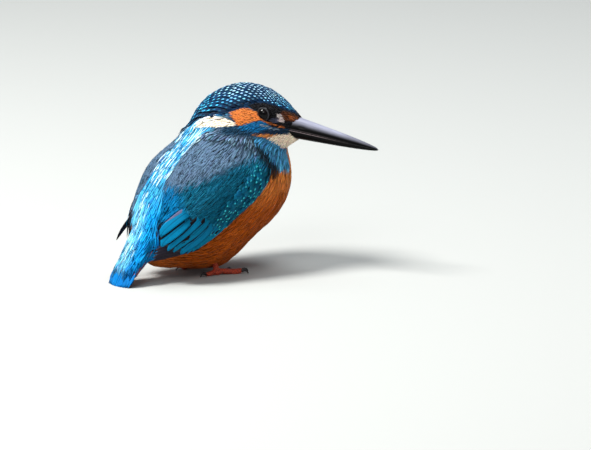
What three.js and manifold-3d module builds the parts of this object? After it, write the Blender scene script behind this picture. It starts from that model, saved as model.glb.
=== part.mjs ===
// A life-size common kingfisher at rest, standing on a flat floor with its head turned to its right.
// Millimetres. +X is the way the body faces, +Y is the bird's left, +Z is up, and z = 0 is the floor.
// The plumage outline is a soft blend of ellipsoids. Head, neck and trunk are that one form, parted by
// thin plane cuts; the wings are shells that follow it, and every other piece is trimmed where it meets it.
import * as THREE from "three";
import { mergeVertices } from "three/addons/utils/BufferGeometryUtils.js";
import Module from "manifold-3d";

const wasm = await Module();
wasm.setup();

const V = (x, y, z) => new THREE.Vector3(x, y, z);
const rad = THREE.MathUtils.degToRad;
const { lerp, smoothstep } = THREE.MathUtils;

// Driving dimensions
const gap = 0.3; // clearance between neighbouring pieces
const blendSoftness = 3.2; // how widely the ellipsoids melt into each other
const headCentre = V(25, -9.5, 68.8);
const headYaw = -62; // degrees, turned to the bird's right
const headPitch = -10; // degrees, bill slightly down
const billLength = 38.6; // from the forehead feathers to the tip
const billBase = { forward: 16.4, depth: 9.3, width: 9.2, upperShare: 0.55, rootInside: 10 };
const gape = { root: -3.2, tip: -2.75 }; // how high the line between the two halves lies
const eye = { forward: 3.5, up: 2.0, radius: 3.3, sunk: 1.95 };
const stripe = { narrow: 5.5, wide: 9.6, wideBelow: 33, narrowAbove: 44 }; // bare strip between the wings
const wing = { thickness: 3.4, edge: 0.9 };
const wingTaper = { lowerEdge: 9, tip: 16, stripe: 7, neck: 12 }; // how far in from each edge it thickens
const wingLimits = { tip: -38, neck: 60, lower: 27, lowerSlope: 0.62 }; // where those edges lie
const tail = {
  root: V(-33.6, 0, 25.6),
  tip: V(-48.6, 0, 0),
  halfWidthRoot: 7.5,
  halfWidthTip: 8.4,
  over: 2, // of the coverts on top at the root
  under: 13.5, // of the coverts below at the root
  blade: 0.45, // of the bare feathers at the tip
};
const foot = { x: -1.5, y: 9, out: 9, toeRadius: 1.25, sole: 0.35 };
const featherLine = { front: V(-2, 0, 25), rear: V(-38, 0, 33) }; // where the wing's coverts end
// The middle of the longest flight feathers, from under the wing to their tip; the left ones lie higher.
const bladeCourse = {
  right: [V(-14, -15.5, 17.5), V(-24, -15, 15.5), V(-32, -13.4, 14.3), V(-38.2, -12.6, 11.8)],
  left: [V(-18, 16, 25), V(-28, 15.2, 24), V(-34.5, 14.4, 20.8), V(-39.3, 13.8, 17.2)],
};
const blade = { half: 3.2, thickRoot: 1.1, thickTip: 0.5, tipHalf: 0.35 };

const colours = {
  crown: 0x123f66,
  back: 0x1e9fe0,
  wing: 0x14607a,
  flight: 0x1c2b3a,
  tail: 0x1f7fd0,
  bill: 0x17171b,
  eye: 0x0b0806,
  foot: 0xc8401f,
  claw: 0x2a1c18,
};

function material(colour, roughness = 0.75) {
  return new THREE.MeshStandardMaterial({ color: colour, roughness, metalness: 0 });
}

// ---- solids from geometry and back ----

function solidOf(geometry) {
  const bare = geometry.clone();
  bare.deleteAttribute("normal");
  bare.deleteAttribute("uv");
  const merged = mergeVertices(bare, 1e-4);
  return new wasm.Manifold(
    new wasm.Mesh({
      numProp: 3,
      vertProperties: new Float32Array(merged.attributes.position.array),
      triVerts: new Uint32Array(merged.index.array),
    }),
  );
}

// The largest body of a cut, so that a sliver left by it goes.
function largest(solid) {
  const bodies = solid.decompose();
  return bodies.reduce((a, b) => (b.volume() > a.volume() ? b : a));
}

function meshOf(name, solid, look) {
  const made = largest(solid).getMesh();
  const geometry = new THREE.BufferGeometry()
    .setAttribute("position", new THREE.BufferAttribute(made.vertProperties, 3))
    .setIndex(new THREE.BufferAttribute(made.triVerts, 1));
  geometry.computeVertexNormals();
  const mesh = new THREE.Mesh(geometry, look);
  mesh.name = name;
  return mesh;
}

// ---- the blended plumage form ----

// An ellipsoid by centre, radii and a turn: yaw about Z, then pitch that lifts its +X end.
function ellipsoid(centre, radii, yaw = 0, pitch = 0) {
  const turn = new THREE.Quaternion().setFromEuler(new THREE.Euler(0, -rad(pitch), rad(yaw), "ZYX"));
  return { centre, radii, back: turn.invert() };
}

// Approximate distance from a point to an ellipsoid's surface, negative inside.
function distanceTo(blob, point) {
  const p = point.clone().sub(blob.centre).applyQuaternion(blob.back);
  const once = p.clone().divide(blob.radii);
  const twice = once.clone().divide(blob.radii);
  const reach = once.length();
  return (reach * (reach - 1)) / Math.max(twice.length(), 1e-9);
}

// Distance to the soft union of several ellipsoids.
function blendDistance(blobs, point) {
  let sum = 0;
  for (const blob of blobs) sum += Math.exp(-distanceTo(blob, point) / blendSoftness);
  return -blendSoftness * Math.log(sum);
}

// A point given in the head's own directions: forward along the bill, left, up.
function inHead(forward, left, up) {
  return V(forward, left, up)
    .applyEuler(new THREE.Euler(0, -rad(headPitch), rad(headYaw), "ZYX"))
    .add(headCentre);
}

const bodyBlobs = [
  ellipsoid(V(19, 0, 38.6), V(24.5, 20.7, 22.4), 0, 50), // breast
  ellipsoid(V(3.5, 0, 32.2), V(26.2, 18.6, 23), 0, 40), // belly
  ellipsoid(V(-0.7, 0, 15), V(18, 15, 12.6), 0, 12), // lower belly
  ellipsoid(V(-8, 0, 41), V(25, 17, 15), 0, 50), // back
  ellipsoid(V(-25.5, 0, 27), V(19, 12, 9.5), 0, 62), // rump
  ellipsoid(V(-17, 0, 13), V(14, 9, 7), 0, 20), // vent
  ellipsoid(V(9, -1, 59), V(15, 15, 13), 0, 0), // neck
  ellipsoid(inHead(-19, 2, -10), V(13, 12.8, 13), headYaw, headPitch), // nape
  ellipsoid(inHead(-6.2, 0, 0.5), V(15.4, 12, 10.2), headYaw, headPitch), // cranium
  ellipsoid(inHead(0.2, 0, -6.4), V(10.3, 11.2, 8), headYaw, headPitch), // cheeks
  ellipsoid(inHead(11, 0, -2.7), V(8.6, 4.2, 6.6), headYaw, headPitch - 8), // face
];
const plumage = (point) => blendDistance(bodyBlobs, point);
// The folded wings stand out a little wider than the body behind the belly.
const wingBlobs = [...bodyBlobs, ellipsoid(V(-17, 0, 22), V(20, 15.5, 12), 0, 30)];
const wingForm = (point) => blendDistance(wingBlobs, point);

// A closed form around a centre: each point of a sphere is moved out to where the field is zero.
function starSolid(centre, field, detail) {
  const geometry = new THREE.IcosahedronGeometry(1, detail);
  const points = geometry.attributes.position;
  const stride = 1.5;
  const furthest = 75;
  for (let i = 0; i < points.count; i++) {
    const direction = new THREE.Vector3().fromBufferAttribute(points, i).normalize();
    const at = (r) => field(direction.clone().multiplyScalar(r).add(centre));
    let inside = 0;
    while (inside + stride < furthest && at(inside + stride) < 0) inside += stride;
    let outside = inside + stride;
    for (let k = 0; k < 18; k++) {
      const middle = (inside + outside) / 2;
      if (at(middle) < 0) inside = middle;
      else outside = middle;
    }
    const place = direction.multiplyScalar(inside).add(centre);
    points.setXYZ(i, place.x, place.y, place.z);
  }
  return solidOf(geometry);
}

// ---- closed lofts through rings of points ----

function loft(rings) {
  const around = rings[0].length;
  const positions = [];
  const index = [];
  rings.forEach((ring) => ring.forEach((p) => positions.push(p.x, p.y, p.z)));
  for (let r = 0; r + 1 < rings.length; r++)
    for (let k = 0; k < around; k++) {
      const a = r * around + k;
      const b = r * around + ((k + 1) % around);
      index.push(a, b, b + around, a, b + around, a + around);
    }
  [0, rings.length - 1].forEach((r) => {
    const middle = rings[r].reduce((sum, p) => sum.add(p), V(0, 0, 0)).divideScalar(around);
    const centre = positions.length / 3;
    positions.push(middle.x, middle.y, middle.z);
    for (let k = 0; k < around; k++) {
      const a = r * around + k;
      const b = r * around + ((k + 1) % around);
      if (r === 0) index.push(b, a, centre);
      else index.push(a, b, centre);
    }
  });
  const geometry = new THREE.BufferGeometry();
  geometry.setAttribute("position", new THREE.Float32BufferAttribute(positions, 3));
  geometry.setIndex(index);
  const solid = solidOf(geometry);
  return solid.volume() < 0 ? solidOf(flipped(geometry)) : solid;
}

function flipped(geometry) {
  const turned = geometry.clone();
  const index = turned.index.array;
  for (let i = 0; i < index.length; i += 3) [index[i + 1], index[i + 2]] = [index[i + 2], index[i + 1]];
  return turned;
}

// A round limb along a curve, with its radius as a function of the way along.
function limb(curve, radiusAt, steps, sides, flatten = 1) {
  const rings = [];
  for (let i = 0; i <= steps; i++) {
    const t = i / steps;
    const along = curve.getTangentAt(t);
    const side = V(0, 0, 1).cross(along).normalize();
    if (side.lengthSq() < 0.5) side.set(0, 1, 0);
    const up = along.clone().cross(side).normalize();
    const middle = curve.getPointAt(t);
    const radius = radiusAt(t);
    rings.push(
      Array.from({ length: sides }, (_, k) => {
        const angle = (2 * Math.PI * k) / sides;
        return middle
          .clone()
          .addScaledVector(side, Math.cos(angle) * radius)
          .addScaledVector(up, Math.sin(angle) * radius * flatten);
      }),
    );
  }
  return loft(rings);
}

// ---- head, neck and trunk ----

const headCut = { normal: V(0.3, -0.3, 0.9).normalize(), through: inHead(-4, 0, -10.5) };
const neckCut = { normal: V(0.12, 0, 0.99).normalize(), through: V(0, 0, 55) };

function above(solid, cut, clearance) {
  return solid.trimByPlane(cut.normal.toArray(), cut.normal.dot(cut.through) + clearance);
}

function below(solid, cut, clearance) {
  return solid.trimByPlane(
    cut.normal.clone().negate().toArray(),
    -(cut.normal.dot(cut.through) - clearance),
  );
}

const trunkCentre = V(4, 0, 36);
const trunkForm = starSolid(trunkCentre, plumage, 8);
const trunkRoom = starSolid(trunkCentre, (p) => plumage(p) - gap, 8);
const headForm = starSolid(inHead(-1, 0, -1), plumage, 7);
const neckForm = starSolid(V(11, -2, 59), plumage, 6);

// ---- eyes ----

// The ball lies with its middle a set depth under the plumage, measured sideways.
function eyeCentre(side) {
  let inside = 5;
  while (plumage(inHead(eye.forward, side * inside, eye.up)) < 0) inside += 0.02;
  return inHead(eye.forward, side * (inside - eye.sunk), eye.up);
}

function eyeSolid(side, extra = 0) {
  const ball = new THREE.SphereGeometry(eye.radius + extra, 14, 9);
  const centre = eyeCentre(side);
  return solidOf(ball.translate(centre.x, centre.y, centre.z));
}

// ---- bill ----

// Half of the bill's depth and width along its length, a dagger with a blunt-edged point.
const billDepthAt = (t) => (1 - 0.68 * t) * Math.sqrt(Math.max(1 - Math.pow(t, 5), 0));
const billWidthAt = (t) => lerp(1, 0.16, Math.pow(t, 0.72)) * Math.sqrt(Math.max(1 - Math.pow(t, 9), 0));

// One half of the bill's outline at t along it: the gape edge, over the culmen or keel, and back.
function billArc(t, sign, extra) {
  const root = -billBase.rootInside / billLength;
  const flare = 1 + 0.36 * smoothstep(-t, 0, -root);
  const share = sign > 0 ? billBase.upperShare : 1 - billBase.upperShare;
  const depth = billBase.depth * share * billDepthAt(Math.max(t, 0)) + 0.02 + extra;
  const width = (billBase.width / 2) * flare * billWidthAt(Math.max(t, 0)) + 0.02 + extra;
  const line = lerp(gape.root, gape.tip, t);
  return Array.from({ length: 7 }, (_, k) => {
    const angle = (Math.PI * k) / 6;
    const rise = Math.pow(Math.sin(angle), 0.85) * depth;
    const left = sign * Math.cos(angle) * width;
    return inHead(billBase.forward + t * billLength, left, line + sign * (gap / 2 + rise));
  });
}

// A length of bill; the root of it lies in a slot in the face.
function billSolid(arcs, extra = 0) {
  const steps = 11;
  const root = -(billBase.rootInside + extra) / billLength;
  const rings = [];
  for (let i = 0; i <= steps; i++) {
    const t = lerp(root, 1, Math.pow(i / steps, 0.85));
    rings.push(arcs.flatMap((sign) => billArc(t, sign, extra)));
  }
  return loft(rings);
}

// ---- wings ----

// The closed wing as seen from the side, in x and z: shoulder, wrist, lower edge, tip, then up the back.
const wingOutline = [
  [2, 61],
  [8, 59.5],
  [14, 55.5],
  [17.5, 48.5],
  [16.5, 41],
  [11.5, 35.5],
  [0, 26],
  [-7, 21],
  [-14, 16.3],
  [-22, 13.6],
  [-29, 14.2],
  [-33, 17.5],
  [-34.3, 24],
  [-34, 40],
  [-30, 50],
  [-22, 58],
  [-12, 64],
];

function wingPrism() {
  const corners = [...wingOutline, wingOutline[0]].map(([x, z]) => new THREE.Vector2(x, z));
  const outline = new THREE.Shape(new THREE.SplineCurve(corners).getPoints(54));
  const slab = new THREE.ExtrudeGeometry(outline, { depth: 80, bevelEnabled: false, curveSegments: 1 });
  return slab.rotateX(Math.PI / 2).translate(0, 40, 0);
}

// Half the width of the bare strip of back at a height: it widens down to the rump.
function stripeHalfAt(z) {
  return lerp(stripe.wide, stripe.narrow, smoothstep(z, stripe.wideBelow, stripe.narrowAbove));
}

// The room that the bare strip takes between the wings.
function stripeRoom() {
  const between = [0, 1 / 3, 2 / 3, 1].map((t) => lerp(stripe.wideBelow, stripe.narrowAbove, t));
  const levels = [0, ...between, 90];
  const right = levels.map((z) => new THREE.Vector2(-stripeHalfAt(z), z));
  const left = levels.map((z) => new THREE.Vector2(stripeHalfAt(z), z)).reverse();
  const section = new THREE.Shape([...right, ...left]);
  const slab = new THREE.ExtrudeGeometry(section, { depth: 90, bevelEnabled: false, curveSegments: 1 });
  // drawn across and up, run out along the bird
  const turn = new THREE.Matrix4().makeBasis(V(0, 1, 0), V(0, 0, 1), V(1, 0, 0));
  return slab.applyMatrix4(turn).translate(-60, 0, 0);
}

// How thick the wing stands over the trunk: full in the middle, thin at the lower edge and the tip.
function wingThicknessAt(p) {
  const lowerEdge = wingLimits.lower + wingLimits.lowerSlope * p.x;
  const share = Math.min(
    smoothstep(p.z - lowerEdge, 0, wingTaper.lowerEdge),
    smoothstep(p.x - wingLimits.tip, 0, wingTaper.tip),
    smoothstep(Math.abs(p.y) - stripeHalfAt(p.z), 0, wingTaper.stripe),
    smoothstep(wingLimits.neck - p.z, 0, wingTaper.neck),
  );
  return lerp(wing.edge, wing.thickness, share) + gap;
}

const wingShell = starSolid(trunkCentre, (p) => wingForm(p) - wingThicknessAt(p), 8)
  .subtract(trunkRoom)
  .subtract(solidOf(stripeRoom()))
  .intersect(solidOf(wingPrism()));

const featherCut = {
  normal: featherLine.rear.clone().sub(featherLine.front).cross(V(0, -1, 0)).normalize(),
  through: featherLine.front,
};

// One wing's shell, cut off from the strip of back between the two.
function wingSolid(side) {
  return wingShell.trimByPlane([0, side, 0], 0).subtract(tailRoom);
}

// The ends of the flight feathers: a thin blade from under the wing to a point beside the tail.
function primaries(label) {
  const side = label === "right" ? -1 : 1;
  const curve = new THREE.CatmullRomCurve3(bladeCourse[label]);
  const rings = [];
  const steps = 9;
  for (let i = 0; i <= steps; i++) {
    const t = i / steps;
    const along = curve.getTangentAt(t);
    const outward = V(0, side, 0.25).normalize();
    const across = along.clone().cross(outward).normalize();
    const rounding = smoothstep(t, -0.3, 0.35) * Math.sqrt(Math.max(1 - Math.pow(t, 2.6), 0));
    const half = blade.half * rounding + blade.tipHalf;
    const thick = lerp(blade.thickRoot, blade.thickTip, t);
    const middle = curve.getPointAt(t);
    rings.push(
      Array.from({ length: 10 }, (_, k) => {
        const angle = (2 * Math.PI * k) / 10;
        return middle
          .clone()
          .addScaledVector(across, Math.cos(angle) * half)
          .addScaledVector(outward, Math.sin(angle) * thick);
      }),
    );
  }
  return loft(rings);
}

// ---- tail ----

const tailAlong = tail.tip.clone().sub(tail.root).normalize();
const tailUp = V(0, 1, 0).cross(tailAlong).normalize();

// A flattened fan, thick with its upper and under coverts at the root and thin at the square tip.
function tailSolid(extra = 0) {
  const rings = [];
  const steps = 9;
  const length = tail.root.distanceTo(tail.tip) + 1.5;
  for (let i = 0; i <= steps; i++) {
    const t = i / steps;
    const roundEnd = Math.sqrt(Math.max(1 - Math.pow(t, 14), 0));
    const half = lerp(tail.halfWidthRoot, tail.halfWidthTip, t) * lerp(0.6, 1, roundEnd) + extra;
    const above = lerp(tail.over, tail.blade, t) + extra;
    const under = lerp(tail.blade, tail.under, Math.pow(1 - t, 0.8)) + extra;
    const middle = tail.root.clone().addScaledVector(tailAlong, t * length);
    rings.push(
      Array.from({ length: 14 }, (_, k) => {
        const angle = (2 * Math.PI * k) / 14;
        const across = Math.cos(angle) * half;
        const rise = Math.sin(angle);
        const arch = -0.014 * across * across;
        return middle
          .clone()
          .add(V(0, across, 0))
          .addScaledVector(tailUp, rise * (rise > 0 ? above : under) + arch);
      }),
    );
  }
  return loft(rings);
}

// ---- legs and feet ----

const floor = (solid, level = 0) => solid.trimByPlane([0, 0, 1], level);

// Toes by name: length without the claw, and heading in degrees from straight ahead, outwards positive.
const toes = [
  { name: "inner", length: 7.5, heading: -24 },
  { name: "middle", length: 12, heading: 2 },
  { name: "outer", length: 10.8, heading: 17 },
  { name: "hind", length: 5.5, heading: 172 },
];

function toeCurve(side, toe) {
  const angle = rad(side * (foot.out + toe.heading));
  const ahead = V(Math.cos(angle), Math.sin(angle), 0);
  const height = foot.toeRadius - foot.sole;
  const start = V(foot.x, side * foot.y, height + 0.9);
  return new THREE.CatmullRomCurve3([
    start,
    start.clone().addScaledVector(ahead, toe.length * 0.3).setZ(height + 0.5),
    start.clone().addScaledVector(ahead, toe.length * 0.7).setZ(height),
    start.clone().addScaledVector(ahead, toe.length).setZ(height),
  ]);
}

function legSolid(side, extra = 0) {
  const joined = toes.map((toe) => {
    const bulge = (t) => 1.08 - 0.28 * t + 0.07 * Math.cos(t * toe.length * 1.5);
    return limb(toeCurve(side, toe), (t) => foot.toeRadius * bulge(t) + extra, 5, 6);
  });
  const pad = new THREE.SphereGeometry(2 + extra, 8, 5).scale(1.25, 1, 0.7);
  joined.push(solidOf(pad.translate(foot.x, side * foot.y, 1.1)), tarsusSolid(side, extra));
  return floor(joined.reduce((a, b) => a.add(b)));
}

function clawSolid(side, toe, extra = 0) {
  const tip = toeCurve(side, toe).getPointAt(1);
  const ahead = toeCurve(side, toe).getTangentAt(1);
  const at = (forward, up) => tip.clone().addScaledVector(ahead, forward).setZ(up);
  const curve = new THREE.CatmullRomCurve3([at(gap, 1.15), at(1.4, 1.5), at(2.7, 1.0), at(3.3, 0.1)]);
  return floor(limb(curve, (t) => lerp(0.75, 0.25, t) + extra, 3, 6));
}

function tarsusSolid(side, extra) {
  const curve = new THREE.CatmullRomCurve3([
    V(foot.x, side * foot.y, 1.2),
    V(foot.x - 0.5, side * foot.y, 3.5),
    V(foot.x - 1.5, side * foot.y, 6.5),
  ]);
  return limb(curve, (t) => lerp(1.2, 1.5, t) + extra, 3, 8);
}

// ---- assembly ----

const bird = new THREE.Group();

function place(name, solid, colour, roughness) {
  bird.add(meshOf(name, solid, material(colour, roughness)));
}

const tailBlade = floor(tailSolid());
const tailRoom = tailSolid(gap);
const tailPiece = tailBlade.subtract(trunkRoom);
let trunkPiece = below(trunkForm, neckCut, gap / 2);
const billRoom = billSolid([1, -1], gap);
let headPiece = above(headForm, headCut, gap / 2).subtract(billRoom);
const neckPiece = above(below(neckForm, headCut, gap / 2), neckCut, gap / 2);
for (const side of [-1, 1]) {
  headPiece = headPiece.subtract(eyeSolid(side, gap));
  trunkPiece = trunkPiece.subtract(legSolid(side, gap));
  for (const toe of toes) trunkPiece = trunkPiece.subtract(clawSolid(side, toe, gap));
}

place("head", headPiece, colours.crown);
place("neck", neckPiece, colours.crown);
place("trunk", trunkPiece, colours.back);
place("tail", tailPiece, colours.tail);
place("bill_upper", billSolid([1]), colours.bill, 0.35);
place("bill_lower", billSolid([-1]), colours.bill, 0.35);

for (const [label, side] of [
  ["right", -1],
  ["left", 1],
]) {
  const wingPiece = wingSolid(side);
  place(`eye_${label}`, eyeSolid(side), colours.eye, 0.08);
  place(`wing_${label}`, above(wingPiece, featherCut, gap / 2), colours.wing);
  place(`secondaries_${label}`, below(wingPiece, featherCut, gap / 2), colours.wing);
  place(
    `primaries_${label}`,
    primaries(label).subtract(trunkRoom).subtract(wingPiece).subtract(tailRoom),
    colours.flight,
  );
  place(`leg_${label}`, legSolid(side), colours.foot, 0.5);
  for (const toe of toes)
    place(`claw_${toe.name}_${label}`, clawSolid(side, toe), colours.claw, 0.4);
}

// The origin is moved to the middle of the bird's bounding box, at the floor.
const bounds = new THREE.Box3().setFromObject(bird);
const middle = bounds.getCenter(V(0, 0, 0)).setZ(bounds.min.z).negate();
for (const piece of bird.children) piece.geometry.translate(middle.x, middle.y, middle.z);

export default bird;
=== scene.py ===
import math

import bmesh
import bpy
import numpy as np
from mathutils import Matrix, Vector, kdtree
from mathutils.bvhtree import BVHTree


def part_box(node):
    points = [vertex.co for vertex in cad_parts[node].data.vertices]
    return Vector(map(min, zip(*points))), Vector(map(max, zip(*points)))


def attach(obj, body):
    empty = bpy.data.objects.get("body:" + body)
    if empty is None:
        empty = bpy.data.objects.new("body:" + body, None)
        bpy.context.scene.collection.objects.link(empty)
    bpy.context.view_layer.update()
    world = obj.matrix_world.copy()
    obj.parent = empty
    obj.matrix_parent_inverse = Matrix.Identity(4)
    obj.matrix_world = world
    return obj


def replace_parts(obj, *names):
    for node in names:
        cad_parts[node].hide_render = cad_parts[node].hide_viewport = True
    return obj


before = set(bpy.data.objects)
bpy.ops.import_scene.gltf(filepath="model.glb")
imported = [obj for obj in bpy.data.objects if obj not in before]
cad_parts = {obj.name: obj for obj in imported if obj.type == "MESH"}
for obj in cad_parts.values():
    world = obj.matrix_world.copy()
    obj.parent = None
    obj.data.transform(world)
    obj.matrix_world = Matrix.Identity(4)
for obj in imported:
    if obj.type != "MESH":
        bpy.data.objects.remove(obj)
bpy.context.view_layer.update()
mm = 0.001
chance = np.random.default_rng(11)  # every scatter below draws from this one

# the body's directions are x forward, y to its left and z up, from the floor under the middle of the back;
# the head's are forward along the bill, left and up, from the middle of the head; both in millimetres

body = {"breastReach": 42.26, "tailRoot": (-33.6, 0, 25.6), "tailTip": (-48.6, 0, 0)}
head = {"eyeForward": 3.5, "eyeUp": 2.0, "billDroop": 5.1}


def boxCentre(node):
    low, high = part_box(node)
    return (low + high) / 2


def headDirections():
    left = (boxCentre("eye_left") - boxCentre("eye_right")).normalized()
    between = (boxCentre("eye_left") + boxCentre("eye_right")) / 2
    corners = [v.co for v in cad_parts["bill_upper"].data.vertices]
    toTip = max(corners, key=lambda p: (p - between).length) - between
    ahead = (toTip - toTip.dot(left) * left).normalized()
    ahead = Matrix.Rotation(math.radians(-head["billDroop"]), 3, left) @ ahead
    up = ahead.cross(left)
    centre = between - ahead * head["eyeForward"] * mm - up * head["eyeUp"] * mm
    return centre, ahead, left, up


trunkLow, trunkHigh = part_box("trunk")
bodyCentre = Vector((trunkHigh.x - body["breastReach"] * mm, (trunkLow.y + trunkHigh.y) / 2, 0))
headCentre, headAhead, headLeft, headUp = headDirections()
headTurn = np.array([headAhead, headLeft, headUp])


def fromBody(x, y, z):
    return bodyCentre + Vector((x, y, z)) * mm


def fromHead(forward, left, up):
    return headCentre + (headAhead * forward + headLeft * left + headUp * up) * mm


def mixed(first, second, share):
    return first * (1 - share) + second * share


def inBody(points):
    return (points - np.array(bodyCentre)) / mm


def inHead(points):
    return (points - np.array(headCentre)) @ headTurn.T / mm


def tone(red, green, blue):
    level = np.array([red, green, blue]) / 255
    return np.where(level < 0.04045, level / 12.92, ((level + 0.055) / 1.055) ** 2.4)


hue = {name: tone(*levels) for name, levels in {
    "crown": (1, 39, 70), "crownSpot": (60, 164, 208), "crownSpotSheen": (164, 210, 238),
    "ear": (200, 112, 52), "white": (248, 235, 210), "throat": (255, 229, 204), "malar": (12, 92, 142),
    "lore": (66, 32, 12), "loreLight": (112, 56, 20), "cheekBack": (24, 58, 82), "underEye": (190, 104, 52),
    "underMalar": (214, 132, 70), "mask": (9, 9, 14), "malarDark": (20, 44, 68),
    "lorePale": (166, 152, 152), "loreGrey": (66, 68, 86), "gape": (112, 126, 144),
    # breast lighter, belly and vent darker: painted light and shade over the bird's own orange
    "breast": (248, 148, 70), "belly": (172, 78, 12), "vent": (170, 84, 26), "side": (74, 152, 198),
    "mantle": (80, 104, 129), "teal": (12, 88, 115), "covert": (0, 84, 114), "covertSpot": (60, 190, 205),
    "stripeDeep": (18, 96, 168), "stripe": (62, 160, 208), "stripePaleAndSheen": (206, 238, 250),
    # after the rump's own blue come a painted highlight and a painted shade
    "rump": (18, 158, 230), "rumpHighlight": (120, 206, 238), "rumpShade": (0, 62, 116),
    "tertial": (0, 102, 156), "tail": (2, 100, 168), "flight": (0, 118, 154), "webPale": (84, 82, 110),
    "flightDark": (10, 12, 18), "primary": (36, 31, 41), "under": (30, 28, 32),
}.items()}

view = {"azimuth": -38, "elevation": 12, "lens": 300, "sensor": 36, "distance": 2.142, "clipEnd": 50}
aim = {"right": 38.65, "up": 20.0, "ahead": -8.75}


def lookDirections(azimuth, elevation):
    turn = math.radians(azimuth)
    lift = math.radians(elevation)
    back = Vector((math.sin(turn) * math.cos(lift), -math.cos(turn) * math.cos(lift), math.sin(lift)))
    right = Vector((math.cos(turn), math.sin(turn), 0))
    return right, back.cross(right), back


def pointAt(obj, place, target):
    obj.location = place
    obj.rotation_euler = (Vector(target) - Vector(place)).to_track_quat("-Z", "Y").to_euler()


def linked(name, data):
    obj = bpy.data.objects.new(name, data)
    bpy.context.scene.collection.objects.link(obj)
    return obj


def meshObject(name, bm):
    mesh = bpy.data.meshes.new(name)
    bm.to_mesh(mesh)
    bm.free()
    return linked(name, mesh)


def addCamera():
    right, up, back = lookDirections(view["azimuth"], view["elevation"])
    target = fromBody(0, 0, 0) + (right * aim["right"] + up * aim["up"] - back * aim["ahead"]) * mm
    lens = bpy.data.cameras.new("camera")
    lens.lens = view["lens"]
    lens.sensor_width = view["sensor"]
    lens.clip_end = view["clipEnd"]
    camera = linked("camera", lens)
    pointAt(camera, target + back * view["distance"], target)
    bpy.context.scene.camera = camera
    return target


lamps = {
    "key": {"from": (-112, 56), "distance": 1.5, "size": 0.5, "power": 42, "colour": (1, 0.98, 0.95)},
    "front": {"from": (-60, 40), "distance": 1.8, "size": 0.8, "power": 10, "colour": (1, 0.99, 0.97)},
    "top": {"from": (120, 75), "distance": 1.5, "size": 0.9, "power": 14, "colour": (0.94, 0.98, 1)},
}
surroundings = {"floorHalf": 6, "floorRoughness": 0.9, "sky": (0.86, 0.92, 1, 1), "skyStrength": 0.3}


def addLamps(target):
    for name, lamp in lamps.items():
        light = bpy.data.lights.new(name, "AREA")
        light.shape = "DISK"
        light.size = lamp["size"]
        light.energy = lamp["power"]
        light.color = lamp["colour"]
        place = target + lookDirections(*lamp["from"])[2] * lamp["distance"]
        pointAt(linked(name, light), place, target)


def addFloor():
    bm = bmesh.new()
    bmesh.ops.create_grid(bm, x_segments=1, y_segments=1, size=surroundings["floorHalf"])
    floor = meshObject("floor", bm)
    material, shader = newMaterial("paleFloor")
    fill(shader, {"Base Color": tone(168, 170, 168), "Roughness": surroundings["floorRoughness"]})
    floor.data.materials.append(material)


def addWorld():
    world = bpy.data.worlds.new("world")
    world.use_nodes = True
    sky = world.node_tree.nodes["Background"]
    sky.inputs["Color"].default_value = surroundings["sky"]
    sky.inputs["Strength"].default_value = surroundings["skyStrength"]
    bpy.context.scene.world = world
    bpy.context.scene.view_settings.view_transform = "Standard"


skinForm = {
    "grow": 0.35,  # closes the fine gaps between the solids
    "tailKept": 0.8,  # share of the tail with flesh and undertail coverts
    "covertsTo": 0.68,  # share of the tail where the last uppertail coverts are rooted
    "voxel": 0.62, "smoothing": 10, "blend": 8, "sinkSteps": 3, "sinkEven": 0.3, "billKept": 19, "weld": 0.01,
}
fleshNodes = ["head", "neck", "trunk", "wing_left", "wing_right", "secondaries_left", "secondaries_right"]


tailCourse = Vector(body["tailTip"]) - Vector(body["tailRoot"])
tailLength = tailCourse.length
tailAlong = tailCourse.normalized()
tailBack = Vector((0, 1, 0)).cross(tailAlong)  # out of the upper side of the tail


def cutCopy(bm, node, place, ahead):
    piece = bmesh.new()
    piece.from_mesh(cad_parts[node].data)
    bmesh.ops.remove_doubles(piece, verts=piece.verts, dist=skinForm["weld"] * mm)
    everything = piece.verts[:] + piece.edges[:] + piece.faces[:]
    bmesh.ops.bisect_plane(piece, geom=everything, plane_co=place, plane_no=ahead, clear_outer=True)
    bmesh.ops.holes_fill(piece, edges=[e for e in piece.edges if e.is_boundary])
    short = bpy.data.meshes.new(node)
    piece.to_mesh(short)
    piece.free()
    bm.from_mesh(short)
    bpy.data.meshes.remove(short)


def fleshForm():
    bm = bmesh.new()
    for node in fleshNodes + ["eye_left", "eye_right"]:
        bm.from_mesh(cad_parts[node].data)
    tailCut = Vector(body["tailRoot"]) + tailCourse * skinForm["tailKept"]
    cutCopy(bm, "tail", fromBody(*tailCut), tailAlong)
    for node in ("bill_upper", "bill_lower"):
        cutCopy(bm, node, fromHead(skinForm["billKept"], 0, 0), headAhead)
    bmesh.ops.remove_doubles(bm, verts=bm.verts, dist=skinForm["weld"] * mm)
    bm.normal_update()
    grown = [v.co + v.normal * skinForm["grow"] * mm for v in bm.verts]
    for vert, place in zip(bm.verts, grown):
        vert.co = place
    skin = meshObject("skin", bm)
    fuse(skin, skinForm["voxel"])
    return skin


def fuse(obj, voxel):
    remesh = obj.modifiers.new("remesh", "REMESH")
    remesh.mode = "VOXEL"
    remesh.voxel_size = voxel * mm
    applyModifiers(obj)


def applyModifiers(obj):
    bpy.context.view_layer.update()
    shown = obj.evaluated_get(bpy.context.evaluated_depsgraph_get())
    finished = bpy.data.meshes.new_from_object(shown)
    obj.modifiers.clear()
    obj.data = finished


def numbersFrom(items, name, size, kind=float):
    found = np.empty(len(items) * size, kind)
    items.foreach_get(name, found)
    return found.reshape(-1, size)


def verticesOf(obj):
    return numbersFrom(obj.data.vertices, "co", 3)


def trianglesOf(obj):
    obj.data.calc_loop_triangles()
    return numbersFrom(obj.data.loop_triangles, "vertices", 3, int)


def edgesOf(obj):
    return numbersFrom(obj.data.edges, "vertices", 2, int)


def moveTo(obj, points):
    obj.data.vertices.foreach_set("co", points.ravel())


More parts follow.
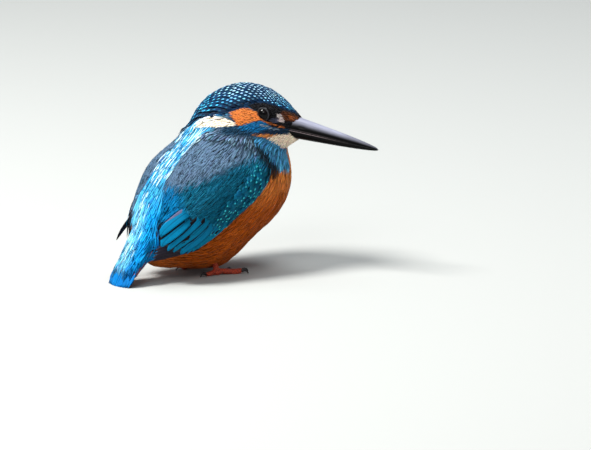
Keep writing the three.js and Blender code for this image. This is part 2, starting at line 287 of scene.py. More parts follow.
def shadeSmooth(obj):
    obj.data.polygons.foreach_set("use_smooth", np.ones(len(obj.data.polygons), bool))


def unit(vectors):
    return vectors / np.maximum(np.linalg.norm(vectors, axis=-1, keepdims=True), 1e-12)


def normalsOf(points, triangles):
    corner = points[triangles]
    across = np.cross(corner[:, 1] - corner[:, 0], corner[:, 2] - corner[:, 0])
    total = np.zeros_like(points)
    for k in range(3):
        np.add.at(total, triangles[:, k], across)
    return unit(total)


def relaxed(values, edges, rounds, share=0.5):
    count = np.bincount(edges.ravel(), minlength=len(values))
    count = np.maximum(count, 1).reshape(-1, *[1] * (values.ndim - 1))
    for _ in range(rounds):
        total = np.zeros_like(values)
        np.add.at(total, edges[:, 0], values[edges[:, 1]])
        np.add.at(total, edges[:, 1], values[edges[:, 0]])
        values = mixed(values, total / count, share)
    return values


lookIn = 4  # how far outside the skin the look for the CAD node over it starts


def outerNodes(points, normals):
    # which CAD node is outermost over each point, by a look inwards from just outside
    names = sorted(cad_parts)
    corners = []
    faces = []
    owner = []
    for index, name in enumerate(names):
        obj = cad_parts[name]
        start = len(corners)
        corners += [v.co.copy() for v in obj.data.vertices]
        for face in obj.data.polygons:
            faces.append([start + k for k in face.vertices])
            owner.append(index)
    tree = BVHTree.FromPolygons(corners, faces)
    found = []
    for place, normal in zip(points, normals):
        outward = Vector(normal)
        hit = tree.ray_cast(Vector(place) + outward * lookIn * mm, -outward, 2 * lookIn * mm)
        if hit[2] is None:
            hit = tree.find_nearest(Vector(place))
        found.append(names[owner[hit[2]]])
    return np.array(found)


def ramp(value, low, high):
    share = np.clip((value - low) / (high - low), 0, 1)
    return share * share * (3 - 2 * share)


def rounded(outline, rounds=2):
    for _ in range(rounds):
        after = np.roll(outline, -1, axis=0)
        outline = np.stack([mixed(outline, after, share) for share in (0.25, 0.75)], 1).reshape(-1, 2)
    return outline


def within(outline, across, up, soft=0.4):
    # 1 inside the outline, 0 outside, with a soft edge
    corners = rounded(np.array(outline, float))
    place = np.stack([across, up], -1)
    nearest = np.full(len(across), 1e9)
    inside = np.zeros(len(across), bool)
    for a, b in zip(corners, np.roll(corners, -1, axis=0)):
        edge = b - a
        share = np.clip((place - a) @ edge / (edge @ edge), 0, 1)
        nearest = np.minimum(nearest, np.linalg.norm(place - a - share[:, None] * edge, axis=1))
        crosses = (a[1] > up) != (b[1] > up)
        rise = edge[1] if abs(edge[1]) > 1e-9 else 1e-9
        inside ^= crosses & (across < a[0] + edge[0] * (up - a[1]) / rise)
    return ramp(np.where(inside, nearest, -nearest), -soft, soft)


# outlines on the side of the head, forward and up
faceMarks = {
    "throat": [
        (6.6, -7.4), (10, -6.2), (13.1, -5.4), (16.5, -5.2), (22, -5), (22, -14), (12, -13.6), (9.9, -10.5),
        (7.4, -8.7),
    ],
    "malar": [
        (-4.3, -4.4), (-1.8, -2.9), (1.4, -1.3), (3.9, -0.8), (5.7, -1.7), (7.7, -3), (10.4, -3.5),
        (12.2, -4.3), (7.9, -5.5), (3.8, -6.2), (1.1, -6.1), (-2.7, -5.6),
    ],
    "malarDark": [
        (4.9, -4.8), (7.4, -3.7), (9.7, -3.3), (12.9, -3.1), (19, -3), (19, -5.2), (14.9, -5), (10, -6),
        (5.2, -6.4), (1.9, -6.7),
    ],
    "white": [
        (-4.9, -4), (-6, -2.9), (-8.2, -2.3), (-12.6, -2.3), (-16.4, -3), (-19.5, -4.2), (-22.4, -6.3),
        (-26, -9.8), (-22, -8.9), (-17, -7), (-10.5, -5.5), (-7.4, -4.7),
    ],
    "ear": [
        (-10.5, 0.6), (-7.9, 2.1), (-4.8, 3), (-2.2, 3.1), (0.6, 2.4), (2.7, 0.8), (4, -0.3), (1.3, -1),
        (-1.2, -2.5), (-3.3, -3.5), (-4.8, -4.1), (-6.2, -2.3), (-8.7, -0.8),
    ],
    "mask": [
        (-4.5, 4.3), (-2.3, 5.3), (-0.1, 6), (2.1, 6.3), (4.5, 6), (7, 5.4), (9.5, 4.6), (11.8, 4.1),
        (14.2, 3.4), (16.4, 2.2), (19, 0.8), (19, -1.4), (16.1, -1), (12.8, -1.5), (10, -1.8), (7.1, -1.4),
        (4.7, -0.6), (2.7, 0.6), (0.6, 2.6), (-2, 3.5),
    ],
    "underEye": [
        (3.2, -0.1), (6.3, -1.1), (9, -1.8), (11.9, -2.1), (12.2, -2.7), (8, -2.3), (5.2, -1.4),
        (2.9, -0.5),
    ],
    "underMalar": [
        (0.6, -7), (3.9, -6.4), (8, -6.3), (10.6, -6.4), (8.6, -7.2), (7, -7.9), (4.4, -7.7),
    ],
    "lore": [
        (8.8, 3.5), (10.4, 3.9), (12.8, 3.5), (15.4, 2.5), (17, 1.2), (14.7, 0.4), (11.7, 0.3), (9.9, 1.9),
    ],
    "loreLight": [
        (12.2, 2.7), (14.4, 2.6), (15.9, 1.6), (14.4, 1), (12.6, 1.2),
    ],
    "gape": [
        (3.5, -2.2), (6.5, -3), (10.6, -3.5), (10.6, -4.1), (6.3, -3.7), (3.2, -2.8),
    ],
    "loreGrey": [
        (6.4, 0.9), (8.6, 1.4), (9.8, -0.5), (8.4, -1.2), (6.2, -0.5),
    ],
    "lorePale": [
        (8, 2.8), (9.3, 2.8), (10.6, 1.2), (11.6, -0.5), (10.4, -0.7), (8.6, 0.9),
    ],
}
crownEdge = [
    (20, 1.2), (16.7, 2.2), (14.6, 3.3), (12.3, 3.9), (9.8, 4.4), (7.2, 5.0), (1.8, 4.8), (-3.6, 3.5),
    (-6.5, 2.5), (-9.2, 0.7), (-13.4, -1.9), (-16.3, -2.7), (-19.5, -3.9), (-22.5, -5.8), (-27, -10.2),
    (-31, -15), (-50, -15), (-50, 30), (20, 30),
]
# outlines on the side of the body, forward and up
bodyMarks = {
    "side": [
        (10.6, 61), (13, 60.4), (17.6, 59.3), (22.1, 57.2), (26, 54.7), (30.3, 52), (32.8, 49.2),
        (34.2, 45.6), (33.4, 43), (30.1, 41.6), (25.1, 43.6), (21.5, 43.5), (17.4, 46.5), (14.4, 50),
        (12.4, 54),
    ],
    # painted shadow: the dark line between the blue side patch and the wing's front edge
    "gap": [
        (11.4, 57.2), (14.6, 55), (17.2, 52), (19.6, 49.2), (24.4, 45.4), (24, 41.2), (20.4, 40.2),
        (15.5, 45.6), (12.8, 50), (11, 54.4),
    ],
    "ventral": [
        (-52, -6), (-44, 4), (-36, 10), (-30, 11), (-20, 15), (-7, 20), (4, 28), (12, 36), (17, 44),
        (20, 52), (24, 59), (29, 66), (36, 72), (60, 74), (60, -6),
    ],
}
# where the grey blue of the mantle gives way to teal: how far forward, and the height of the change there
mantleEdge = [
    (-29, 40.4), (-23, 42.6), (-11.5, 46.3), (-5, 48.2), (0, 49.8), (6, 51), (10, 51.8), (13.5, 53),
    (17, 57),
]
# where one colour gives way to the next: the first and last place of each change, in millimetres
fades = {
    "breast": (25, 46), "vent": (18, 30), "tailEdge": (-0.4, 0.4), "tailTop": (0.2, 0.5), "flank": (10, 11.5),
    "besideTail": (3, 4.5), "rump": (-40, -26), "tail": (-22, -8), "mantleSide": (5.5, 7.5),
    "mantleUp": (52, 55), "rumpHighlight": (-36, -28), "rumpLeft": (-5, 1), "rumpShade": (-3, 0.5),
    "outer": (-2.4, 2.4), "lower": (-36, -22), "tertialBack": (24, 28), "tertialDown": (-43, -39),
    "side": (9, 13), "head": (-1.06, -1), "cheekUp": (-8.6, -7.4), "cheekAhead": (-12, -8),
    "maskUp": (-5, -3), "maskAhead": (-2, 2),
}
heights = {"flank": 31, "besideTail": 20, "head": 52}
headOval = {"long": 27, "high": 15}  # half lengths of the head's outline from the side
blue = {"depth": 18, "to": 0.6}  # how far down the side of the tail's root the blue goes, and where it ends
# how deep under the feathers' ends the skin lies, for each kind of coat
depthOf = {
    "bare": 0.3, "crown": 0.6, "face": 0.4, "breast": 0.95, "back": 0.9, "wing": 0.85, "flight": 0.8,
    "tail": 0.8, "side": 0.8,
}


def paint(points, normals, nodes):
    # colour and kind of coat at each point
    x, y, z = inBody(points).T
    forward, left, up = inHead(points).T
    tint = np.tile(hue["belly"], (len(points), 1))
    kind = np.full(len(points), "breast", dtype="<U8")

    def lay(colour, mask, name=None):
        tint[:] = mixed(tint, hue[colour] if isinstance(colour, str) else colour, mask[:, None])
        if name:
            kind[mask > 0.5] = name

    def fade(name, value):
        return ramp(value, *fades[name])

    # painted light and shade over the orange: lighter up on the breast, darker down the belly and towards the
    # vent
    lay("breast", fade("breast", z))
    lay("vent", fade("vent", -x))
    onWing = np.char.startswith(nodes, "wing")
    onFlight = np.char.startswith(nodes, "secondaries") | np.char.startswith(nodes, "primaries")
    onTail = nodes == "tail"
    fromRoot = np.stack([x, y, z], 1) - np.array(body["tailRoot"])
    reach = fromRoot @ np.array(tailAlong) / tailLength
    below = -(fromRoot @ np.array(tailBack))
    facingBack = normals @ np.array(tailBack)
    blueTo = np.maximum(blue["depth"] * (blue["to"] - reach), 0)
    dorsal = np.maximum(fade("tailEdge", blueTo - below), fade("tailTop", facingBack))
    back = np.where(onTail, dorsal, 1 - within(bodyMarks["ventral"], x, z, 0.8))
    back = back * (1 - fade("flank", np.abs(y)) * (z < heights["flank"]))
    back = back * (1 - fade("besideTail", y) * (z < heights["besideTail"]) * ~onTail)
    lay("stripe", back, "back")
    lay("rump", back * fade("rump", -z))
    lay("tail", back * fade("tail", -z))
    kind[onTail & (back > 0.5)] = "tail"
    lay("mantle", back * fade("mantleSide", np.abs(y + 1.5)) * fade("mantleUp", z), "side")
    # painted highlight: the rump paler low down on its left side, where the light falls
    lay("rumpHighlight", back * fade("rumpHighlight", -z) * fade("rumpLeft", y) * 0.8)
    # painted shade: deeper blue down the tail's side, where its blue meets the orange below
    lay("rumpShade", onTail * back * fade("rumpShade", below - blueTo) * 0.8)

    outer = fade("outer", np.interp(x, *np.array(mantleEdge, float).T) - z)[:, None]
    lower = 0.6 * fade("lower", 0.47 * x - 0.88 * z + 0.2 * np.abs(y))[:, None]
    plume = mixed(mixed(hue["mantle"], hue["teal"], outer), hue["covert"], lower)
    featherRoots = onFlight & ((z > 23 + 1.4 * np.maximum(-19 - x, 0)) | (z > 51 + 0.73 * x))
    lay("under", onFlight.astype(float), "flight")
    lay(plume, (onWing | featherRoots).astype(float), "wing")
    tertial = np.where(y[:, None] > 0, hue["mantle"], hue["tertial"])  # the far wing shows its greyer edge
    lay(tertial, (onWing | featherRoots) * fade("tertialBack", -x) * fade("tertialDown", -z) * 0.9)
    atSide = fade("side", np.abs(y)) * ~onFlight
    lay("side", within(bodyMarks["side"], x, z, 0.6) * atSide, "side")
    # painted shadow in the gap between the side patch and the wing
    lay("mask", within(bodyMarks["gap"], x, z, 0.9) * atSide * 0.9)

    fromMiddle = np.hypot((forward + 6) / headOval["long"], (up + 3) / headOval["high"])
    onHead = fade("head", -fromMiddle) * (z > heights["head"]) * ~onWing
    lay("cheekBack", onHead * fade("cheekUp", up) * fade("cheekAhead", forward), "face")
    lay("mask", onHead * fade("maskUp", up) * fade("maskAhead", forward), "face")
    for name in ("malar", "white", "ear", "throat"):
        lay(name, within(faceMarks[name], forward, up, 0.3) * onHead, "face")
    lay("crown", within(crownEdge, forward, up, 0.35) * onHead, "crown")
    for name in (
        "malarDark", "gape", "mask", "underEye", "underMalar", "lore", "loreLight", "loreGrey", "lorePale",
    ):
        lay(name, within(faceMarks[name], forward, up, 0.25) * onHead * (np.abs(left) > 1), "face")
    pastCoverts = (reach > skinForm["covertsTo"]) & (facingBack > 0.2)
    atCut = (reach > skinForm["tailKept"] - 0.05) & (facingBack > -0.4)
    kind[onTail & (pastCoverts | atCut)] = "bare"
    for start in ("bill", "eye", "leg", "claw"):
        kind[np.char.startswith(nodes, start)] = "bare"
    return tint, kind


def makeSkin():
    skin = fleshForm()
    triangles = trianglesOf(skin)
    edges = edgesOf(skin)
    points = relaxed(verticesOf(skin), edges, skinForm["smoothing"])
    normals = normalsOf(points, triangles)
    nodes = outerNodes(points, normals)
    kind = paint(points, normals, nodes)[1]
    depth = relaxed(np.array([depthOf[k] for k in kind]), edges, skinForm["blend"]) + skinForm["grow"]
    for _ in range(skinForm["sinkSteps"]):
        points = points - normals * depth[:, None] * mm / skinForm["sinkSteps"]
        points = relaxed(points, edges, 1, skinForm["sinkEven"])
        normals = normalsOf(points, triangles)
    moveTo(skin, points)
    skin.data.update()
    return {
        "obj": skin, "points": points, "triangles": triangles, "edges": edges, "nodes": nodes,
        "normals": unit(relaxed(normals, edges, skinForm["blend"])),
    }


skin = makeSkin()
skin["tint"], skin["kind"] = paint(skin["points"], skin["normals"], skin["nodes"])
print("skin", len(skin["points"]), "points")

# where, and which way the feathers point there: forward, left, up on the head's directions
headFlow = [
    ((17, 0, 4), (-0.6, 0, 0.8)), ((12, 5, 1), (-0.9, 0.35, 0)), ((8, 0, 9), (-0.9, 0, 0.45)),
    ((-4, 0, 11), (-1, 0, 0)), ((-15, 0, 7), (-0.85, 0, -0.5)), ((-24, 0, -4), (-0.5, 0, -0.85)),
    ((3, 12, 6), (-1, 0, 0.1)), ((-4, 13, 0), (-1, 0, -0.2)), ((-14, 12, -4), (-0.93, 0, -0.36)),
    ((4, 11, -6), (-0.93, 0, -0.36)), ((15, 3, -7), (-0.75, 0, -0.65)), ((11, 5, -12), (-0.45, 0, -0.9)),
]
# the same on the body's directions
bodyFlow = [
    ((30, 0, 55), (0, 0, -1)), ((12, 16, 58), (-0.3, 0, -0.95)), ((28, 17, 48), (-0.35, 0, -0.94)),
    ((42, 0, 38), (-0.15, 0, -1)), ((34, 14, 36), (-0.3, 0, -0.95)), ((20, 19, 26), (-0.7, 0, -0.7)),
    ((26, 0, 16), (-0.8, 0, -0.6)), ((2, 17, 14), (-0.92, 0, -0.38)), ((0, 0, 3), (-1, 0, 0)),
    ((-18, 8, 8), (-1, 0, 0)), ((-28, 0, 6), (-0.9, 0, -0.2)), ((-8, 0, 64), (-0.8, 0, -0.6)),
    ((-24, 0, 49), (-0.6, 0, -0.8)), ((-34, 0, 30), (-0.42, 0, -0.91)), ((-43, 0, 12), (-0.5, 0, -0.86)),
    ((-36, 0, 8), (-0.5, 0, -0.86)), ((8, 20, 57), (-0.72, 0, -0.7)), ((-12, 14, 57), (-0.78, 0, -0.62)),
    ((14, 23, 46), (-0.72, 0, -0.7)), ((0, 23, 42), (-0.82, 0, -0.57)), ((4, 22, 33), (-0.82, 0, -0.57)),
    ((-10, 21, 30), (-0.88, 0, -0.47)), ((-22, 14, 46), (-0.68, 0, -0.73)),
    ((-26, 14, 28), (-0.85, 0, -0.52)),
]


flowReach = 2  # the larger, the softer the change from one anchor's direction to the next


def flowAt(points, normals):
    total = np.zeros_like(points)
    for anchors, place, turn in ((headFlow, fromHead, headTurn), (bodyFlow, fromBody, np.eye(3))):
        for (a, b, c), way in anchors:
            for side in (-1, 1) if b else (1,):
                centre = np.array(place(a, b * side, c))
                apart = np.linalg.norm(points - centre, axis=1) / mm
                heading = np.array([way[0], way[1] * side, way[2]]) @ turn
                total += heading / (apart[:, None] + flowReach) ** 4
    total -= normals * np.sum(total * normals, axis=1, keepdims=True)
    return unit(total)


skin["flow"] = flowAt(skin["points"], skin["normals"])
skin["flow"] = unit(relaxed(skin["flow"], skin["edges"], 6))
skinTree = BVHTree.FromPolygons(skin["points"].tolist(), skin["triangles"].tolist())
faceFlow = [Vector(v) for v in unit(skin["flow"][skin["triangles"]].sum(1))]
faceNormal = [Vector(v) for v in unit(skin["normals"][skin["triangles"]].sum(1))]


triesPerRoot = 7


def scatter(kinds, spacing, choose=None):
    # evenly spread roots on the skin: places and the triangle each is on
    triangles = skin["triangles"]
    corner = skin["points"][triangles]
    area = np.linalg.norm(np.cross(corner[:, 1] - corner[:, 0], corner[:, 2] - corner[:, 0]), axis=1) / 2
    wanted = np.isin(skin["kind"][triangles], kinds).any(1)
    if choose is not None:
        wanted &= choose(corner.mean(1))
    weight = np.where(wanted, area, 0)
    count = int(weight.sum() / (spacing * mm) ** 2 * triesPerRoot)
    face = chance.choice(len(triangles), count, p=weight / weight.sum())
    a, b = chance.random((2, count))
    turn = a + b > 1
    a[turn] = 1 - a[turn]
    b[turn] = 1 - b[turn]
    shares = np.stack([1 - a - b, a, b], 1)
    place = sum(corner[face, k] * shares[:, k:k + 1] for k in range(3))
    finder = kdtree.KDTree(count)
    for index, p in enumerate(place):
        finder.insert(p, index)
    finder.balance()
    free = np.ones(count, bool)
    kept = []
    for index in range(count):
        if free[index]:
            kept.append(index)
            for _, other, _ in finder.find_range(place[index], spacing * mm):
                free[other] = False
    return place[kept], face[kept]


turning = 0.25  # how much a course turns towards the flow at each step


def walk(places, faces, lengths, steps, sway, leave=None):
    # each quill's course along the skin, with the skin's outward direction at every step;
    # it goes straight on where the skin ends, once that is further off than a share of the step
    course = np.empty((len(places), steps, 3))
    outward = np.empty((len(places), steps, 3))
    landed = []
    for index, (start, face, length) in enumerate(zip(places, faces, lengths)):
        place = Vector(start)
        face = int(face)
        normal = faceNormal[face]
        heading = Matrix.Rotation(sway[index], 3, normal) @ faceFlow[face]
        course[index, 0] = place
        outward[index, 0] = normal
        for step in range(1, steps):
            ahead = heading * (length / (steps - 1))
            found, _, nearest, away = skinTree.find_nearest(place + ahead)
            if leave is not None and away > leave[index] * ahead.length:
                place = place + ahead
            else:
                place = found
                face = nearest
                normal = faceNormal[face]
                heading = mixed(heading, faceFlow[face], turning)
                heading = (heading - normal * heading.dot(normal)).normalized()
            course[index, step] = place
            outward[index, step] = normal
        landed.append(face)
    return course, outward, np.array(landed)


# what a vane's form is where its own dictionary doesn't say
usualForm = {
    "columns": 3, "rows": 5, "root": 0.35, "fullAt": 0.6, "tip": 0.3, "blunt": 2.2, "arch": 0.2, "roll": 0.12,
    "round": 0.12, "ragged": 0.1, "sink": 0.5, "settle": 0, "dive": 0, "diveTo": 0.3, "mirrored": False,
    "sway": 0.08, "uneven": 0.1, "unevenWidth": 0.08, "loft": 0.12, "patch": 0.003,
}


def vaneOutline(along, form):
    # half width along the vane, as a share of the widest
    form = {**usualForm, **form}
    rise = mixed(form["root"], 1, ramp(along, 0, form["fullAt"]))
    beyond = np.clip((along - form["fullAt"]) / (1 - form["fullAt"]), 0, 1)
    return rise * np.sqrt(np.maximum(1 - (1 - form["tip"] ** 2) * beyond ** form["blunt"], 0))


def vanes(name, course, outward, widths, rises, look, form):
    # joined closed vanes: an arched top over a flat underside
    form = {**usualForm, **form}
    count, rows = course.shape[:2]
    columns = form["columns"]
    along = np.linspace(0, 1, rows)
    across = np.linspace(-1, 1, columns)
    heading = unit(np.gradient(course, axis=1))
    side = unit(np.cross(heading, outward))
    half = widths[:, None] * vaneOutline(along, form)[None, :] / 2
    lift = rises[:, None] * mixed(form["sink"], 1, ramp(along, -0.1, 1.05))
    lift = lift - rises[:, None] * form["settle"] * ramp(along, 0.6, 1)
    lift = lift - form["dive"] * mm * (1 - ramp(along, 0, form["diveTo"]))
    roll = chance.normal(0, form["roll"], count)
    arch = form["arch"] * (1 - across ** 2)
    height = lift[:, :, None] + half[:, :, None] * (arch + roll[:, None, None] * across)
    length = np.linalg.norm(course[:, -1] - course[:, 0], axis=1)
    ragged = chance.normal(0, form["ragged"], (count, 1, columns)) - form["round"] * across ** 2
    reach = length[:, None, None] * ragged * along[None, :, None] ** 4
    points = (
        course[:, :, None]
        + side[:, :, None] * (half[:, :, None] * across)[..., None]
        + outward[:, :, None] * height[..., None]
        + heading[:, :, None] * reach[..., None]
    )
    points[..., 2] = np.maximum(points[..., 2], 0)  # nothing goes below the floor
    grid = np.arange(rows * columns).reshape(rows, columns)
    top = np.stack([grid[:-1, :-1], grid[:-1, 1:], grid[1:, 1:], grid[1:, :-1]], -1).reshape(-1, 4)
    under = np.stack([grid[:-1, 0], grid[1:, 0], grid[1:, -1], grid[:-1, -1]], -1)
    ends = np.stack([grid[0, ::-1], grid[-1]])
    corners = np.concatenate([top.ravel(), under.ravel(), ends.ravel()])
    sizes = np.repeat([4, columns], [len(top) + len(under), 2])
    smooth = np.repeat([True, False], [len(top), len(under) + 2])
    perVane = rows * columns
    corners = (corners[None] + np.arange(count)[:, None] * perVane).ravel()
    obj = fromArrays(name, points.reshape(-1, 3), corners, np.tile(sizes, count), np.tile(smooth, count))
    vane = np.stack(np.meshgrid(along, across * 0.5 + 0.5, indexing="ij")[::-1], -1).reshape(-1, 2)
    vane = np.tile(vane, (count, 1))
    if form["mirrored"]:
        vane[:, 0] = 1 - vane[:, 0]
    rootPatch = np.repeat(look["patch"], perVane, axis=0) + (vane - 0.5) * form["patch"]
    giveMap(obj, "OFBake", rootPatch[corners])
    giveMap(obj, "vane", vane[corners])
    giveColour(obj, "tint", np.repeat(look["tint"], perVane, axis=0))
    mark = look["mark"].reshape(-1, 4)  # one for each vane, or one for each of its rows
    giveColour(obj, "mark", np.repeat(mark, perVane * count // len(mark), axis=0))
    giveNumber(obj, "lot", np.repeat(chance.random(count), perVane))
    return obj


def fromArrays(name, points, corners, sizes, smooth):
    mesh = bpy.data.meshes.new(name)
    mesh.vertices.add(len(points))
    mesh.vertices.foreach_set("co", points.ravel().astype(np.float32))
    mesh.loops.add(len(corners))
    mesh.loops.foreach_set("vertex_index", corners.astype(np.int32))
    mesh.polygons.add(len(sizes))
    mesh.polygons.foreach_set("loop_start", np.concatenate([[0], np.cumsum(sizes)[:-1]]).astype(np.int32))
    mesh.polygons.foreach_set("use_smooth", smooth)
    mesh.update(calc_edges=True)
    return linked(name, mesh)


def giveMap(obj, name, places):
    layer = obj.data.uv_layers.new(name=name)
    layer.data.foreach_set("uv", places.ravel().astype(np.float32))


def giveColour(obj, name, colours):
    if colours.shape[1] == 3:
        colours = np.insert(colours, 3, 1, axis=1)
    layer = obj.data.color_attributes.new(name, "FLOAT_COLOR", "POINT")
    layer.data.foreach_set("color", colours.ravel().astype(np.float32))


def giveNumber(obj, name, values):
    layer = obj.data.attributes.new(name, "FLOAT", "POINT")
    layer.data.foreach_set("value", values.astype(np.float32))


unwrap = {"angle": 66, "margin": 0.004}


def unwrapSkin():
    obj = skin["obj"]
    bpy.context.view_layer.objects.active = obj
    obj.select_set(True)
    bpy.ops.object.mode_set(mode="EDIT")
    bpy.ops.mesh.select_all(action="SELECT")
    bpy.ops.uv.smart_project(angle_limit=math.radians(unwrap["angle"]), island_margin=unwrap["margin"])
    bpy.ops.object.mode_set(mode="OBJECT")
    obj.select_set(False)
    layer = obj.data.uv_layers.active
    layer.name = "OFBake"
    at = np.zeros((len(obj.data.vertices), 2))
    at[numbersFrom(obj.data.loops, "vertex_index", 1, int)[:, 0]] = numbersFrom(layer.data, "uv", 2)
    return at


def fill(node, inputs):
    # sets each input, or links the socket given for it
    for name, value in inputs.items():
        socket = node.inputs[name]
        if isinstance(value, bpy.types.NodeSocket):
            node.id_data.links.new(value, socket)
        else:
            socket.default_value = (*value, 1) if socket.type == "RGBA" else value


def newMaterial(name):
    material = bpy.data.materials.new(name)
    material.use_nodes = True
    return material, material.node_tree.nodes["Principled BSDF"]


def newNode(material, kind, inputs=None, **settings):
    node = material.node_tree.nodes.new(f"ShaderNode{kind}")
    for key, value in settings.items():
        setattr(node, key, value)
    fill(node, inputs or {})
    return node


def mathNode(material, operation, *values):
    return newNode(material, "Math", dict(enumerate(values)), operation=operation).outputs[0]


def mixColours(material, share, first, second, blend="MIX"):
    inputs = {0: share, 6: first, 7: second}
    return newNode(material, "Mix", inputs, data_type="RGBA", blend_type=blend).outputs[2]


def mapRange(material, value, low, high, first, last, way="SMOOTHSTEP"):
    inputs = {"Value": value, "From Min": low, "From Max": high, "To Min": first, "To Max": last}
    return newNode(material, "MapRange", inputs, interpolation_type=way).outputs[0]


def attribute(material, name):
    return newNode(material, "Attribute", attribute_name=name).outputs


def noise(material, vector, scale=1, detail=2, roughness=0.5):
    inputs = {"Vector": vector, "Scale": scale, "Detail": detail, "Roughness": roughness}
    return newNode(material, "TexNoise", inputs).outputs["Fac"]


def bump(material, height, strength, depth):
    inputs = {"Strength": strength, "Distance": depth * mm, "Height": height}
    return newNode(material, "Bump", inputs).outputs[0]


# what a plumage's look is where its own dictionary doesn't say
usualLook = {
    "fan": 0.5, "slant": 0, "run": 1.2, "rootFrom": 0.1, "rootTo": 0.6, "rootShade": 0.5, "edgeFrom": 0.3,
    "edgeShade": 0.8, "bump": 0.5, "roughness": 0.6, "gloss": 0.06, "sheen": 0.04, "bumpDepth": 0.15,
    "grainDetail": 2.5, "grainRoughness": 0.6, "streakFrom": 0.3, "streakTo": 0.7, "shaftEdge": 2.5,
    "webSoft": 0.03, "spotSoft": 1.4, "spotRagged": 0.5, "lots": 60,
}


def featherMaterial(name, look):
    look = {**usualLook, **look}
    material, shader = newMaterial(name)

    def maths(*terms):
        return mathNode(material, *terms)

    mark = attribute(material, "mark")
    vane = newNode(material, "UVMap", uv_map="vane").outputs[0]
    place = newNode(material, "SeparateXYZ", {0: vane}).outputs
    along = place[1]
    across = maths("SUBTRACT", place[0], 0.5)
    fromQuill = maths("ABSOLUTE", across)
    barb = maths("DIVIDE", across, maths("MULTIPLY_ADD", along, look["fan"], 1 - look["fan"]))
    slant = maths("MULTIPLY", fromQuill, look["slant"])
    lane = newNode(material, "CombineXYZ", {
        0: maths("MULTIPLY", barb, look["barbs"]),
        1: maths("ADD", maths("MULTIPLY", along, look["run"]), slant),
        2: maths("MULTIPLY", attribute(material, "lot")["Fac"], look["lots"]),
    }).outputs[0]
    grain = noise(material, lane, 1, look["grainDetail"], look["grainRoughness"])
    pale, deep = 1 + look["contrast"], 1 - look["contrast"]
    streak = mapRange(material, grain, look["streakFrom"], look["streakTo"], deep, pale, "LINEAR")
    root = mapRange(material, along, look["rootFrom"], look["rootTo"], look["rootShade"], 1)
    edge = mapRange(material, fromQuill, look["edgeFrom"], 0.5, 1, look["edgeShade"])
    light = maths("MULTIPLY", maths("MULTIPLY", streak, root), edge)
    grey = newNode(material, "CombineColor", {k: light for k in range(3)}).outputs[0]
    colour = mixColours(material, 1, attribute(material, "tint")["Color"], grey, "MULTIPLY")
    if "inner" in look:
        beyond = maths("SUBTRACT", place[0], mark["Alpha"])
        web = mapRange(material, beyond, -look["webSoft"], look["webSoft"], 0, 1)
        colour = mixColours(material, web, colour, mark["Color"])
    if "shaft" in look:
        shaftEdge = look["shaft"] * look["shaftEdge"]
        quill = mapRange(material, fromQuill, look["shaft"], shaftEdge, 0, 1, "LINEAR")
        colour = mixColours(material, quill, hue["flightDark"], colour)
    if "spot" in look:
        spot = look["spot"]
        wide = maths("DIVIDE", across, spot["half"])
        tall = maths("DIVIDE", maths("SUBTRACT", along, spot["at"]), spot["tall"])
        away = maths("SQRT", maths("ADD", maths("POWER", wide, 2), maths("POWER", tall, 2)))
        away = maths("ADD", away, maths("MULTIPLY", grain, look["spotRagged"]))
        inside = mapRange(material, away, 1, look["spotSoft"], 1, 0)
        colour = mixColours(material, maths("MULTIPLY", inside, mark["Alpha"]), colour, mark["Color"])
    fill(shader, {
        "Base Color": colour, "Normal": bump(material, grain, look["bump"], look["bumpDepth"]),
        "Roughness": look["roughness"], "Specular IOR Level": look["gloss"], "Sheen Weight": look["sheen"],
        "Sheen Roughness": 0.4,
    })
    return material


def nearestCorner(places, faces):
    corner = skin["triangles"][faces]
    apart = np.linalg.norm(skin["points"][corner] - places[:, None], axis=2)
    return corner[np.arange(len(places)), apart.argmin(1)]


def varied(tint, hueSpread, lightSpread):
    # a little difference in lightness and in colour from tuft to tuft
    light = np.exp(chance.normal(0, lightSpread, (len(tint), 1)))
    shift = np.exp(chance.normal(0, hueSpread, (len(tint), 3)))
    return np.clip(tint * light * shift, 0, 1)


seenShare = 0.8  # where along a tuft its colour is taken


def rooted(places, faces, form):
    # kind of coat and place on the unwrap at each root, and the colour where the tuft's end lies
    corner = nearestCorner(places, faces)
    kind = paint(places, skin["normals"][corner], skin["nodes"][corner])[1]
    still = np.zeros(len(places))
    course, _, landed = walk(places, faces, still + form["length"] * seenShare * mm, 3, still)
    end = nearestCorner(course[:, -1], landed)
    tint = paint(course[:, -1], skin["normals"][end], skin["nodes"][end])[0]
    return tint, kind, skin["map"][corner]


def finishPiece(obj, material):
    obj.data.materials.append(material)
    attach(obj, "root")
    obj.data.calc_loop_triangles()
    print(obj.name, len(obj.data.loop_triangles), "triangles")


def coatPiece(name, form, places, faces, tint, patch, mark=None, scale=1, leave=None):
    form = {**usualForm, **form}
    count = len(places)
    length = form["length"] * mm * scale * np.exp(chance.normal(0, form["uneven"], count))
    width = form["width"] * mm * scale * np.exp(chance.normal(0, form["unevenWidth"], count))
    rise = form["rise"] * mm * np.exp(chance.normal(0, form["loft"], count)) * scale ** 0.5
    sway = chance.normal(0, form["sway"], count)
    course, outward, _ = walk(places, faces, length, form["rows"], sway, leave)
    look = {"tint": tint, "mark": np.zeros((count, 4)) if mark is None else mark, "patch": patch}
    obj = vanes(name, course, outward, width, rise, look, form)
    finishPiece(obj, featherMaterial(name, form["look"]))


def plainCoat(name, kinds, form, hueSpread, lightSpread, choose=None):
    places, faces = scatter(kinds, form["spacing"], choose)
    tint, _, patch = rooted(places, faces, form)
    coatPiece(name, form, places, faces, varied(tint, hueSpread, lightSpread), patch)


# small soft locks over breast, belly and vent
breastCoat = {
    "spacing": 0.82, "length": 7.2, "width": 1.15, "rise": 0.6, "tip": 0.1, "fullAt": 0.4, "arch": 0.12,
    "roll": 0.08, "sink": 0.6, "settle": 0.15,
    "look": {"barbs": 5, "contrast": 0.18, "rootShade": 0.78, "edgeShade": 0.95},
}


breastSplit = 27  # the height between the two pieces of this coat


